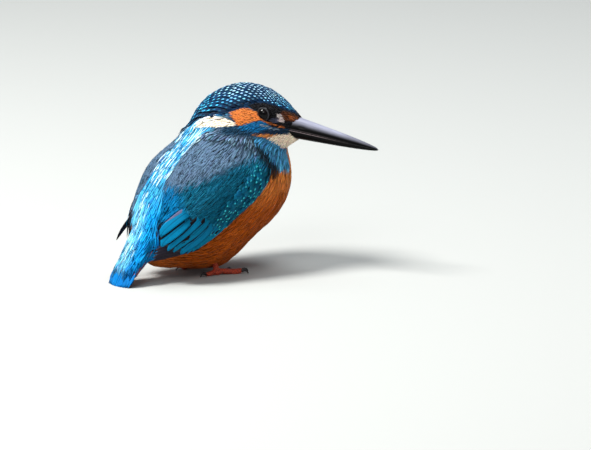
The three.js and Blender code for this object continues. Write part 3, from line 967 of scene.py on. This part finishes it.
def makeBreast():
    def upper(c):
        return inBody(c)[:, 2] > breastSplit

    plainCoat("coat_breast", ["breast"], breastCoat, 0.03, 0.13, upper)
    plainCoat("coat_belly", ["breast"], breastCoat, 0.03, 0.13, lambda c: ~upper(c))


# silky locks down the back and rump, mixed deep, bright and pale, the pale ones partly painted sheen
backCoat = {
    "spacing": 0.74, "length": 9, "width": 0.95, "rise": 0.75, "rows": 6, "sway": 0.07, "tip": 0.1,
    "fullAt": 0.4, "roll": 0.14,
    "look": {"barbs": 7, "contrast": 0.35, "rootShade": 0.85, "edgeShade": 0.95, "sheen": 0, "gloss": 0.03},
}


# shares of deep and pale locks, and how much darker or paler they are
streaks = {
    "lane": 0.22, "deepBelow": 0.1, "paleAbove": 1.22, "palerBy": 0.64, "deepShare": 0.6, "paleShare": 0.65,
}


def makeBack():
    places, faces = scatter(["back", "tail"], backCoat["spacing"])
    tint, _, patch = rooted(places, faces, backCoat)
    corner = nearestCorner(places, faces)
    _, y, z = inBody(places).T
    onTail = ramp(-z, -22, -16)[:, None]
    tint = mixed(tint, skin["tint"][corner], onTail)
    middle = 0.9 * np.exp(-((y - 2.5) / 3.4) ** 2) * ramp(z, 11, 19)
    lane = np.sin(2.7 * y + 1.4 * np.sin(0.45 * y + 0.11 * z))
    pick = chance.random(len(places)) + streaks["lane"] * lane
    deep = streaks["deepShare"] * (pick < streaks["deepBelow"])[:, None]
    # painted sheen: more pale locks higher up the back and down a lane left of the middle, where the light
    # falls
    paleFrom = streaks["paleAbove"] - streaks["palerBy"] * np.maximum(ramp(z, 40, 52), middle)
    pale = streaks["paleShare"] * (pick > paleFrom)[:, None]
    tint = mixed(mixed(tint, hue["stripeDeep"], deep), hue["stripePaleAndSheen"], pale)
    # on the upper side of the tail they go on past the end of the flesh
    leave = np.where((z < 22) & (skin["normals"][corner] @ np.array(tailBack) > 0.5), 0.4, 9)
    coatPiece(
        "coat_back", backCoat, places, faces, varied(tint, 0.04, 0.12), patch, leave=leave,
    )


# coverts, small vanes that overlap like tiles, many with a spot at the tip
covertCoat = {
    "spacing": 1.55, "length": 5.6, "width": 2.9, "rise": 0.75, "rows": 6, "columns": 5, "sway": 0.06,
    "ragged": 0.05, "tip": 0.25, "arch": 0.1, "roll": 0.05, "round": 0.16, "sink": 0.35, "spotted": 0.8,
    "spottedBelow": 52,
    "look": {
        "barbs": 10, "contrast": 0.3, "rootShade": 0.7, "edgeShade": 0.85, "fan": 0.6,
        "roughness": 0.5, "gloss": 0.04, "sheen": 0.01, "spot": {"half": 0.19, "at": 0.87, "tall": 0.1},
    },
}
# long loose locks over shoulder and upper wing
scapularCoat = {
    "spacing": 0.64, "length": 9, "width": 1.05, "rise": 0.42, "rows": 6, "sway": 0.03, "ragged": 0.2,
    "tip": 0.05, "fullAt": 0.3, "arch": 0.05, "roll": 0.03, "loft": 0.05, "settle": 0.1,
    "look": {
        "barbs": 7, "contrast": 0.1, "rootShade": 0.97, "edgeShade": 1, "sheen": 0.01, "gloss": 0.03,
        "bump": 0.2,
    },
}


def spottedPart(places):
    # 1 on the coverts along the wing's leading edge and forearm, 0 on the scapulars
    x, y, z = inBody(places).T
    return ramp(0.72 * x - 0.69 * z + 0.4 * np.abs(y), -19, -15) * (np.abs(y) > 13)


def makeWing(side, label):
    def coverts(c):
        return (inBody(c)[:, 1] * side > 0) & (spottedPart(c) > 0.3)

    def scapulars(c):
        return (inBody(c)[:, 1] * side > 0) & (spottedPart(c) < 0.7)

    places, faces = scatter(["wing"], covertCoat["spacing"], coverts)
    tint, _, patch = rooted(places, faces, covertCoat)
    mark = np.zeros((len(places), 4))
    mark[:, :3] = varied(np.tile(hue["covertSpot"], (len(places), 1)), 0.05, 0.15)
    mark[:, 3] = chance.random(len(places)) < covertCoat["spotted"]
    mark[inBody(places)[:, 2] >= covertCoat["spottedBelow"], 3] = 0
    tint = varied(tint, 0.05, 0.16)
    coatPiece(f"coat_coverts_{label}", covertCoat, places, faces, tint, patch, mark)
    plainCoat(f"coat_scapulars_{label}", ["wing"], scapularCoat, 0.03, 0.05, scapulars)


# blue feathers at the sides of neck and breast
sideCoat = {
    "spacing": 0.78, "length": 4.6, "width": 1.05, "rise": 0.75, "sway": 0.1, "tip": 0.15, "fullAt": 0.45,
    "sink": 0.45,
    "look": {"barbs": 4, "contrast": 0.3, "rootShade": 0.6, "edgeShade": 0.85},
}


# the smallest tufts: cheeks, lores, throat and the white of the neck
faceCoat = {
    "spacing": 0.5, "length": 2.1, "width": 0.68, "rise": 0.4, "sway": 0.1, "ragged": 0.08, "tip": 0.15,
    "fullAt": 0.45, "arch": 0.25, "sink": 0.4,
    "look": {"barbs": 3, "contrast": 0.12, "rootShade": 0.86, "edgeShade": 0.95},
}


# crown feathers stand in rows round the head's long axis, each row half a step from the last
crownCoat = {
    "smallest": 0.8, "lines": 27, "halfTurn": 118, "rowShare": 0.86, "furthest": 19, "rows": 6,
    "columns": 5, "sway": 0.03, "length": 2.7, "width": 1.35, "rise": 0.5, "sink": 0.1, "ragged": 0.03,
    "tip": 0.35, "arch": 0.28, "roll": 0.05, "round": 0.2, "uneven": 0.05, "spineStep": 3, "usualRadius": 8,
    "crowdedSize": 1.7, "leastSize": 0.6, "mostSize": 2.2, "plainEdge": 2.4, "plainFade": 1.4,
    "spine": [(19, 0.8), (10, 1.5), (0, 0.5), (-10, -3), (-18, -10), (-22, -20)],
    "look": {
        "barbs": 6, "contrast": 0.25, "rootShade": 0.6, "edgeShade": 0.6,
        "spot": {"half": 0.17, "at": 0.82, "tall": 0.15},
    },
}


spine = np.array(crownCoat["spine"], float)
spineReach = np.concatenate([[0], np.cumsum(np.linalg.norm(np.diff(spine, axis=0), axis=1))])


def spineAt(distance):
    return np.array([np.interp(distance, spineReach, spine[:, k]) for k in (0, 1)])


def crownRoots():
    # place, triangle and size of every crown feather
    found = []
    distance = 0
    row = 0
    step = math.radians(crownCoat["halfTurn"] * 2 / crownCoat["lines"])
    while distance < spineReach[-1]:
        middle = spineAt(distance)
        way = spineAt(distance + crownCoat["spineStep"]) - spineAt(distance - crownCoat["spineStep"])
        outwardUp = (fromHead(way[1], 0, -way[0]) - headCentre).normalized()
        origin = fromHead(middle[0], 0, middle[1])
        radius = (skinTree.ray_cast(origin, outwardUp)[3] or crownCoat["usualRadius"] * mm) / mm
        for line in range(crownCoat["lines"] + 1):
            angle = (line + (row % 2) / 2) * step - math.radians(crownCoat["halfTurn"])
            direction = outwardUp * math.cos(angle) + headLeft * math.sin(angle)
            place, _, face, reach = skinTree.ray_cast(origin, direction)
            if place is None or reach > crownCoat["furthest"] * mm:
                continue
            size = (reach / mm * 0.5 + radius * 0.5) * step
            crowded = size < crownCoat["smallest"]
            if not (crowded and line % 2):
                found.append((place, face, size * (crownCoat["crowdedSize"] if crowded else 1)))
        distance += radius * step * crownCoat["rowShare"]
        row += 1
    places, faces, sizes = zip(*found)
    return np.array(places), np.array(faces), np.clip(sizes, crownCoat["leastSize"], crownCoat["mostSize"])


def makeCrown():
    places, faces, scale = crownRoots()
    tint, kind, patch = rooted(places, faces, crownCoat)
    kept = kind == "crown"
    places, faces, scale, tint, patch = places[kept], faces[kept], scale[kept], tint[kept], patch[kept]
    forward, _, up = inHead(places).T
    # 0 along the lower edge behind the eye, where no spots show
    inner = within(crownEdge, forward, up - crownCoat["plainEdge"], crownCoat["plainFade"])
    inner = np.maximum(inner, ramp(forward, 0, 5))[:, None]
    tint = tint * (0.5 + 0.5 * inner)
    # painted sheen: the spots paler towards the top of the head, where the light falls
    height = ramp(up, 3, 10)[:, None]
    mark = varied(mixed(hue["crownSpot"], hue["crownSpotSheen"], height), 0.05, 0.22)
    strength = np.clip(chance.normal(0.85, 0.2, (len(mark), 1)), 0.3, 1) * (0.15 + 0.85 * inner)
    mark = np.concatenate([mark, strength], 1)
    tint = varied(tint, 0.05, 0.15)
    coatPiece("coat_crown", crownCoat, places, faces, tint, patch, mark, scale)


# the closed wing's flight feathers: for each set its upper limit, then the line of every feather's lower edge
# from under the coverts to the tip; the left primaries are carried higher
featherLines = {
    "secondaries": [
        [(-24.3, -18, 34.9), (-28.9, -15.3, 31.7), (-33.2, -11.8, 28.4)],
        [(-23.7, -19.3, 30.8), (-28.1, -17.2, 27.4), (-34, -12.4, 21.4)],
        [(-22.6, -20, 28.3), (-27.6, -17.9, 23.3), (-33.6, -12.4, 17)],
        [(-18, -21.3, 28.1), (-23.6, -19.9, 23.8), (-31.9, -14.1, 15.4)],
        [(-14.2, -21.9, 28.2), (-19.7, -20.5, 22.9), (-29.9, -15.5, 14.9)],
        [(-11.2, -21.7, 26.4), (-16.4, -19.1, 19.6), (-25.9, -15.9, 13.3)],
        [(-7.6, -20.9, 26.9), (-13.4, -19.6, 21.3), (-23.2, -16.2, 13.4)],
        [(-5.7, -20.6, 26.2), (-11.7, -19, 20.2), (-20.4, -16.7, 14)],
        [(-1.6, -20.7, 26.8), (-8, -19.4, 21.2), (-17.6, -16.8, 14.8)],
    ],
    "primaries_right": [
        [(-19, -16.9, 19.5), (-28, -15, 18.9), (-35.4, -11.7, 18.5)],
        [(-19, -16.9, 18.2), (-28, -15, 17.6), (-35.4, -11.7, 17.2)],
        [(-19, -16.8, 17), (-28, -15, 16.3), (-36.4, -11.9, 15.7)],
        [(-19, -16.7, 15.8), (-28, -15, 15), (-37.3, -12.1, 14.2)],
        [(-19, -16.6, 14.6), (-28.4, -14.9, 13.8), (-38, -12.4, 12.7)],
        [(-19, -16.6, 13.8), (-29, -14.8, 12.6), (-38.5, -12.6, 11.3)],
    ],
    "primaries_left": [
        [(-22, -15.7, 28.4), (-30, -15, 26.4), (-36.5, -14.1, 22)],
        [(-22, -15.7, 27), (-30, -15, 24.8), (-37.8, -14, 18.8)],
        [(-22, -15.7, 25.4), (-30, -15, 23.2), (-38.9, -13.8, 16.4)],
    ],
}
secondaryFeathers = {
    "overlap": 0.35, "sliver": [0.9, 0.5, 0.5, 0.5, 1.0, 0.35, 0.35, 0.3], "highest": 0.7, "step": 0.14,
    "tint": "flight", "paleWebs": 1, "tilt": 0.16, "drop": 0.45, "closer": 0.3, "bluer": 0.45, "columns": 9,
    "rows": 18, "root": 0.8, "fullAt": 0.5, "tip": 0.3, "blunt": 4.5, "arch": 0.05, "roll": 0,
    "round": 0.03, "ragged": 0.006, "sink": 1, "dive": 3.4, "diveTo": 0.55,
    "look": {
        "barbs": 30, "contrast": 0.16, "rootShade": 0.65, "edgeShade": 0.8, "slant": 5, "fan": 0.1, "run": 5,
        "rootFrom": 0.25, "rootTo": 0.75, "inner": True, "shaft": 0.008, "roughness": 0.5, "gloss": 0.05,
        "sheen": 0, "edgeFrom": 0.46,
    },
}


def curveThrough(places, count):
    # a smooth line through a few places, evenly stepped
    corners = np.array(places, float)
    padded = np.concatenate([[2 * corners[0] - corners[1]], corners, [2 * corners[-1] - corners[-2]]])
    made = []
    for share in np.linspace(0, len(corners) - 1, count):
        index = min(int(share), len(corners) - 2)
        t = share - index
        a, b, c, d = padded[index:index + 4]
        curve = 2 * b + (c - a) * t + (2 * a - 5 * b + 4 * c - d) * t * t + (3 * b - a - 3 * c + d) * t ** 3
        made.append(0.5 * curve)
    return np.array(made)


def featherSet(name, form, courses, outwards, widths, lifts, tint, mark=None):
    count = len(courses)
    course = np.array([[fromBody(*p) for p in line] for line in courses])
    cells = math.ceil(math.sqrt(count))
    patch = np.array([[(k % cells + 0.5) / cells, (k // cells + 0.5) / cells] for k in range(count)])
    look = {"tint": tint, "mark": np.zeros((count, 4)) if mark is None else mark, "patch": patch}
    form = {**form, "patch": 0.9 / cells}
    outward = unit(np.array(outwards, float))
    obj = vanes(name, course, outward, np.array(widths) * mm, np.array(lifts) * mm, look, form)
    finishPiece(obj, featherMaterial(name, form["look"]))
    return obj


laying = {"before": 0.3, "coveredTo": 0.36, "bareFrom": 0.46, "evened": 0.6, "noDark": 1.2}


def layFeathers(name, side, form, lines):
    # feathers laid like tiles: each reaches from its own lower edge up under the one above it
    rows = form["rows"]
    made = []
    for line in lines:
        first, second = np.array(line[0], float), np.array(line[1], float)
        start = first + (first - second) * laying["before"]
        made.append(curveThrough([start] + line, rows) * (1, -side, 1))
    outline = vaneOutline(np.linspace(0, 1, rows), form)
    bare = ramp(np.linspace(0, 1, rows), laying["coveredTo"], laying["bareFrom"])  # 0 under the coverts
    courses = []
    outwards = []
    widths = []
    marks = []
    for k in range(1, len(made)):
        heading = unit(np.gradient(made[k], axis=0))
        gap = np.linalg.norm(made[k][:, None] - made[k - 1][None], axis=2)
        nearest = made[k - 1][gap.argmin(1)]
        facing = unit(np.cross(nearest - made[k], heading))
        facing *= np.sign(facing[:, 1:2] * side)
        facing = unit(mixed(facing, facing.mean(0), laying["evened"]))
        band = gap.min(1)
        width = np.median(band[rows // 3:]) * (1 + form["overlap"] * (k > 1))
        up = unit(np.cross(heading, facing)) * -side
        courses.append(made[k] + up * (width * outline[:, None] / 2 - form["drop"]))
        outwards.append(facing + up * form["tilt"])  # the upper edge goes down under the next
        widths.append(width)
        darkFrom = (band - form["sliver"][k - 1]) / (width * outline)
        darkFrom = mixed(laying["noDark"], darkFrom, bare)  # past the web's edge under the coverts
        # the topmost secondary's inner web: purple-grey, lightened to lilac by a painted sheen
        web = hue["webPale"] if k <= form["paleWebs"] else hue["flightDark"]
        marks.append(np.concatenate([np.tile(web, (rows, 1)), darkFrom[:, None]], 1))
    count = len(courses)
    lifts = form["highest"] - form["step"] * np.arange(count) - form["closer"] * (side > 0)
    bluer = np.linspace(form["bluer"], 0, count)[:, None]
    tint = varied(mixed(hue[form["tint"]], hue["tertial"], bluer), 0.03, 0.05)
    form = {**form, "mirrored": side > 0}
    return featherSet(name, form, courses, outwards, widths, lifts, tint, np.array(marks))


primaryFeathers = {
    "overlap": 1, "sliver": [0.15] * 5, "highest": -0.4, "step": 0.12, "tint": "primary", "tilt": 0.1,
    "paleWebs": 0, "drop": 0, "closer": 0, "bluer": 0, "columns": 7, "rows": 16, "root": 0.7,
    "fullAt": 0.45, "tip": 0.25, "blunt": 2.6, "arch": 0.06, "roll": 0, "round": 0.03, "ragged": 0.004,
    "sink": 1, "dive": 1.8, "diveTo": 0.6,
    "look": {
        "barbs": 30, "contrast": 0.2, "rootShade": 0.9, "edgeShade": 1.5, "slant": 5, "fan": 0.1, "run": 5,
        "shaft": 0.015, "roughness": 0.5, "gloss": 0.12, "sheen": 0.03, "edgeFrom": 0.42,
    },
}


def makeFlight(side, label):
    for node, form, lines in (
        (f"secondaries_{label}", secondaryFeathers, featherLines["secondaries"]),
        (f"primaries_{label}", primaryFeathers, featherLines[f"primaries_{label}"]),
    ):
        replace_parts(layFeathers(f"{node}.vanes", side, form, lines), node)


tailFeathers = {
    "pairs": 6, "rootAcross": 0.5, "tipAcross": 1.25, "width": 4.6, "rounding": 0.16, "start": 4,
    "end": 1.3, "overRoot": 0.6, "overTip": 0.35, "bend": 0.014, "under": 0.07, "turn": 0.03,
    "stagger": 0.03, "columns": 9, "rows": 16, "root": 0.6, "fullAt": 0.7, "tip": 0.4, "blunt": 4.5,
    "arch": 0.1, "roll": 0, "round": 0.05, "ragged": 0.01, "sink": 1,
    "look": {
        "barbs": 34, "contrast": 0.45, "rootShade": 0.8, "edgeShade": 0.6, "slant": 4, "fan": 0.1, "run": 4,
        "shaft": 0.012, "roughness": 0.45, "gloss": 0.06, "sheen": 0, "edgeFrom": 0.4,
    },
}


def makeTail():
    form = tailFeathers
    root = np.array(body["tailRoot"], float)
    along = np.array(tailAlong)
    back = np.array(tailBack)
    courses = []
    outwards = []
    lifts = []
    for pair in range(form["pairs"]):
        for side in (-1, 1):
            spread = side * (pair + 0.5)
            line = []
            for share in np.linspace(0, 1, form["rows"]):
                reach = tailLength + form["end"] - form["rounding"] * pair ** 1.5
                distance = form["start"] + (reach - form["start"]) * share
                across = spread * mixed(form["rootAcross"], form["tipAcross"], share)
                over = mixed(form["overRoot"], form["overTip"], distance / tailLength)
                droop = over - form["bend"] * across * across - form["under"] * pair
                line.append(root + along * distance + np.array([0, across, 0]) + back * droop)
            courses.append(np.array(line))
            outwards.append([back + np.array([0, form["turn"] * spread, 0])] * form["rows"])
            lifts.append(form["stagger"] * (side < 0))
    widths = [form["width"]] * len(courses)
    tint = varied(np.tile(hue["tail"], (len(courses), 1)), 0.03, 0.06)
    obj = featherSet("tail.vanes", form, courses, outwards, widths, lifts, tint)
    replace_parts(obj, "tail")


billForm = {
    "length": 38.6, "forward": 16.4, "depth": 9.3, "width": 9.2, "upperShare": 0.55, "inside": 7, "gap": 0.1,
    "depthLost": 0.68, "depthBlunt": 5, "widthLost": 0.84, "widthEarly": 0.72, "widthBlunt": 9,
    "gapeRoot": -3.2, "gapeTip": -2.75, "stations": 44, "sides": 28, "flare": 0.36, "flareOver": 1.4,
    "ridge": 1.05, "hollow": 0.15, "thinnest": 0.03,
}


def loft(ringAt, stations, sides):
    # a closed skin drawn from ring to ring
    bm = bmesh.new()
    turn = bm.verts.layers.int.new("turn")
    first = bmesh.ops.create_circle(bm, cap_ends=True, segments=sides, radius=1)["verts"]
    for index, vert in enumerate(first):
        vert[turn] = index
        vert.co = ringAt(stations[0], index / sides)
    edges = bm.edges[:]
    for station in stations[1:]:
        made = bmesh.ops.extrude_edge_only(bm, edges=edges)["geom"]
        ring = {v for v in made if isinstance(v, bmesh.types.BMVert)}
        edges = [e for e in made if isinstance(e, bmesh.types.BMEdge) and ring.issuperset(e.verts)]
        for vert in ring:
            vert.co = ringAt(station, vert[turn] / sides)
    bmesh.ops.holes_fill(bm, edges=edges)
    bmesh.ops.recalc_face_normals(bm, faces=bm.faces)
    return bm


def billDepth(t):
    return (1 - billForm["depthLost"] * t) * math.sqrt(max(1 - t ** billForm["depthBlunt"], 0))


def billWidth(t):
    narrowed = billForm["widthLost"] * t ** billForm["widthEarly"]
    return (1 - narrowed) * math.sqrt(max(1 - t ** billForm["widthBlunt"], 0))


def gapeAt(t):
    return mixed(billForm["gapeRoot"], billForm["gapeTip"], t)


def billRing(sign):
    form = billForm
    share = form["upperShare"] if sign > 0 else 1 - form["upperShare"]
    flareEnd = form["inside"] / form["length"] * form["flareOver"]

    def ringAt(t, turn):
        ahead = max(t, 0)
        flare = 1 + form["flare"] * float(ramp(np.array(-t), 0, flareEnd))
        depth = form["depth"] * share * billDepth(ahead) + form["thinnest"]
        width = form["width"] / 2 * flare * billWidth(ahead) + form["thinnest"]
        angle = 2 * math.pi * turn
        rise = math.sin(angle)
        # the side of the mouth is a little hollow
        height = (rise ** form["ridge"] if rise > 0 else -rise * form["hollow"]) * depth
        up = gapeAt(t) + sign * (form["gap"] + height)
        return fromHead(form["forward"] + t * form["length"], sign * math.cos(angle) * width, up)

    return ringAt


nostril = {
    "forward": 19.5, "above": 2.1, "slope": 0.12, "halfLength": 1.5, "halfHeight": 0.3, "depth": 0.25,
}


def makeBill():
    form = billForm
    root = -form["inside"] / form["length"]
    stations = [root + (1 - root) * (k / form["stations"]) ** 0.9 for k in range(form["stations"] + 1)]
    for name, sign in (("bill_upper", 1), ("bill_lower", -1)):
        obj = meshObject(f"{name}.horn", loft(billRing(sign), stations, form["sides"]))
        smooth = obj.modifiers.new("smooth", "SUBSURF")
        smooth.levels = 1
        smooth.render_levels = 1
        applyModifiers(obj)
        shadeSmooth(obj)
        shadeBill(obj, sign)
        finishPiece(obj, hornMaterial(name))
        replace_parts(obj, name)


def shadeBill(obj, sign):
    # black horn, with a painted reflection greying it along the ridge, a pale rim beside the gape and painted
    # shade in the nostril
    forward, left, up = inHead(verticesOf(obj)).T
    t = (forward - billForm["forward"]) / billForm["length"]
    above = (up - gapeAt(t)) * sign
    tint = np.tile(tone(2, 2, 2), (len(t), 1))
    depth = billForm["depth"] * billForm["upperShare"] * np.array([billDepth(v) for v in np.clip(t, 0, 1)])
    # painted reflection: the upper mandible greyer towards its ridge, less so towards the tip
    ridge = ramp(above / depth, 0.38, 0.95) * (1 - 0.7 * ramp(t, 0.4, 0.95)) * (sign > 0)
    tint = mixed(tint, tone(136, 138, 154), ridge[:, None])
    rim = ramp(-above, -0.45, -0.2) * ramp(-t, -0.75, -0.1) * (0.7 if sign < 0 else 0.3)
    tint = mixed(tint, tone(150, 134, 136), rim[:, None])
    if sign > 0:
        ahead = forward - nostril["forward"]
        rise = (above - nostril["above"] + nostril["slope"] * ahead) / nostril["halfHeight"]
        inside = ramp(-np.hypot(ahead / nostril["halfLength"], rise), -1.3, -0.7)[:, None]
        # painted shade inside the nostril, which is also pressed in
        tint *= 1 - 0.9 * inside
        inwards = np.array(headLeft) * np.sign(left)[:, None]
        moveTo(obj, verticesOf(obj) - inwards * inside * nostril["depth"] * mm)
    giveColour(obj, "tint", tint)


def hornMaterial(name):
    material, shader = newMaterial(f"{name}Horn")
    place = newNode(material, "TexCoord").outputs["Object"]
    turn = {"Vector": place, "Rotation": headAhead.to_track_quat("X", "Z").to_euler()}
    turned = newNode(material, "Mapping", turn, vector_type="TEXTURE").outputs[0]
    stretched = newNode(material, "Mapping", {"Vector": turned, "Scale": (130, 1400, 1400)}).outputs[0]
    grain = noise(material, stretched, 1, 4)
    # grain streaks through the horn's colour, seen mostly in the painted reflection along the ridge
    grainStreaks = mixColours(material, grain, (0.55, 0.55, 0.58), (1.3, 1.3, 1.3))
    fill(shader, {
        "Base Color": mixColours(material, 1, attribute(material, "tint")["Color"], grainStreaks, "MULTIPLY"),
        "Roughness": mapRange(material, grain, 0, 1, 0.26, 0.4, "LINEAR"),
        "Normal": bump(material, grain, 0.25, 0.1), "Specular IOR Level": 0.1,
    })
    return material


eyeForm = {
    "over": 0.08, "around": 40, "upDown": 28, "iris": 2.5, "pupil": 1.45, "lidRadius": 2.75, "lidOut": 1.78,
    "lidThick": 0.34, "lidSides": 10, "lidSteps": 40,
}


def outOfEye(label):
    return headLeft if label == "left" else -headLeft


def makeEye(label):
    low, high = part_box(f"eye_{label}")
    radius = (high.z - low.z) / 2 + eyeForm["over"] * mm
    centre = boxCentre(f"eye_{label}")
    bm = bmesh.new()
    bmesh.ops.create_uvsphere(bm, u_segments=eyeForm["around"], v_segments=eyeForm["upDown"], radius=radius)
    stand = Vector((0, 0, 1)).rotation_difference(outOfEye(label)).to_matrix().to_4x4()
    bmesh.ops.transform(bm, matrix=Matrix.Translation(centre) @ stand, verts=bm.verts)
    obj = meshObject(f"eye_{label}.ball", bm)
    shadeSmooth(obj)
    offset = (verticesOf(obj) - np.array(centre)) / mm
    axis = np.array(outOfEye(label))
    fromAxis = np.linalg.norm(offset - (offset @ axis)[:, None] * axis, axis=1)
    inPupil = ramp(-fromAxis, -eyeForm["pupil"] - 0.25, -eyeForm["pupil"])[:, None]
    pastIris = ramp(fromAxis, eyeForm["iris"] - 0.2, eyeForm["iris"] + 0.2)[:, None]
    tint = mixed(mixed(tone(12, 8, 8), tone(3, 3, 3), inPupil), tone(6, 5, 5), pastIris)
    giveColour(obj, "tint", tint)
    material, shader = newMaterial(f"eye_{label}")
    fill(shader, {
        "Base Color": attribute(material, "tint")["Color"], "Roughness": 0.05, "Specular IOR Level": 0.1,
        "Coat Weight": 0.08, "Coat Roughness": 0.02,
    })
    finishPiece(obj, material)
    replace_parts(obj, f"eye_{label}")


def addLids():
    # a rim of bare skin round each eye, joined to the skin
    bm = bmesh.new()
    bm.from_mesh(skin["obj"].data)
    for label in ("left", "right"):
        out = outOfEye(label)
        middle = boxCentre(f"eye_{label}") + out * eyeForm["lidOut"] * mm
        thick = eyeForm["lidThick"] * mm
        section = bmesh.ops.create_circle(bm, segments=eyeForm["lidSides"], radius=thick)["verts"]
        stand = Matrix((headUp, out, headUp.cross(out))).transposed().to_4x4()
        start = middle + headUp * eyeForm["lidRadius"] * mm
        bmesh.ops.transform(bm, matrix=Matrix.Translation(start) @ stand, verts=section)
        edges = list({e for v in section for e in v.link_edges})
        bmesh.ops.spin(
            bm, geom=section + edges, cent=middle, axis=out, angle=math.tau, steps=eyeForm["lidSteps"],
            use_merge=True, dvec=(0, 0, 0),
        )
    bmesh.ops.recalc_face_normals(bm, faces=bm.faces)
    bm.to_mesh(skin["obj"].data)
    bm.free()


footForm = {"voxel": 0.24, "clawVoxel": 0.13, "smoothing": 4, "clawSmoothing": 3}


def smoothedCopy(node, name, voxel, rounds):
    bm = bmesh.new()
    bm.from_mesh(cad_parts[node].data)
    bmesh.ops.remove_doubles(bm, verts=bm.verts, dist=skinForm["weld"] * mm)
    obj = meshObject(name, bm)
    fuse(obj, voxel)
    points = relaxed(verticesOf(obj), edgesOf(obj), rounds)
    points[:, 2] = np.maximum(points[:, 2], 0)
    moveTo(obj, points)
    shadeSmooth(obj)
    return obj


def scaleMaterial(name, colour, creaseShade, scale, depth, roughness):
    # small plates with painted shade in the creases between them
    material, shader = newMaterial(name)
    place = newNode(material, "TexCoord").outputs["Object"]
    plates = newNode(material, "TexVoronoi", {"Vector": place, "Scale": scale}, feature="DISTANCE_TO_EDGE")
    crease = mapRange(material, plates.outputs["Distance"], 0, 0.22, 0, 1)
    mottle = noise(material, place, scale * 0.4)
    base = mixColours(material, mottle, colour * 0.7, np.minimum(colour * 1.3, 1))
    fill(shader, {
        "Base Color": mixColours(material, crease, creaseShade, base), "Roughness": roughness,
        "Normal": bump(material, crease, 0.7, depth),
    })
    return material


def makeFeet():
    scales = scaleMaterial("footScales", tone(214, 74, 34), tone(120, 30, 14), 1500, 0.15, 0.45)
    horn = scaleMaterial("clawHorn", tone(38, 30, 28), tone(22, 17, 16), 600, 0.04, 0.3)
    for label in ("left", "right"):
        node = f"leg_{label}"
        leg = smoothedCopy(node, f"{node}.scales", footForm["voxel"], footForm["smoothing"])
        finishPiece(leg, scales)
        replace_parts(leg, node)
        for toe in ("inner", "middle", "outer", "hind"):
            node = f"claw_{toe}_{label}"
            claw = smoothedCopy(node, f"{node}.horn", footForm["clawVoxel"], footForm["clawSmoothing"])
            finishPiece(claw, horn)
            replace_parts(claw, node)


def finishSkin():
    obj = skin["obj"]
    material, shader = newMaterial("skin")
    # painted shade: the skin darkened nearly halfway to black, so the gaps between the feathers look shaded
    colour = mixColours(material, 0.45, attribute(material, "tint")["Color"], (0.02, 0.02, 0.025))
    fill(shader, {"Base Color": colour, "Roughness": 0.8})
    tint = np.tile(tone(20, 21, 25), (len(obj.data.vertices), 1))  # the lids' own colour
    tint[:len(skin["tint"])] = skin["tint"]
    giveColour(obj, "tint", tint)
    shadeSmooth(obj)
    finishPiece(obj, material)
    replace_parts(obj, *fleshNodes)


addLids()
skin["map"] = unwrapSkin()
print("skin unwrapped")
makeBreast()
makeBack()
makeWing(-1, "right")
makeWing(1, "left")
plainCoat("coat_side", ["side"], sideCoat, 0.08, 0.32)
plainCoat("coat_face", ["face"], faceCoat, 0.03, 0.09)
makeCrown()
makeFlight(-1, "right")
makeFlight(1, "left")
makeTail()
makeBill()
for label in ("left", "right"):
    makeEye(label)
makeFeet()
finishSkin()

target = addCamera()
addLamps(target)
addFloor()
addWorld()
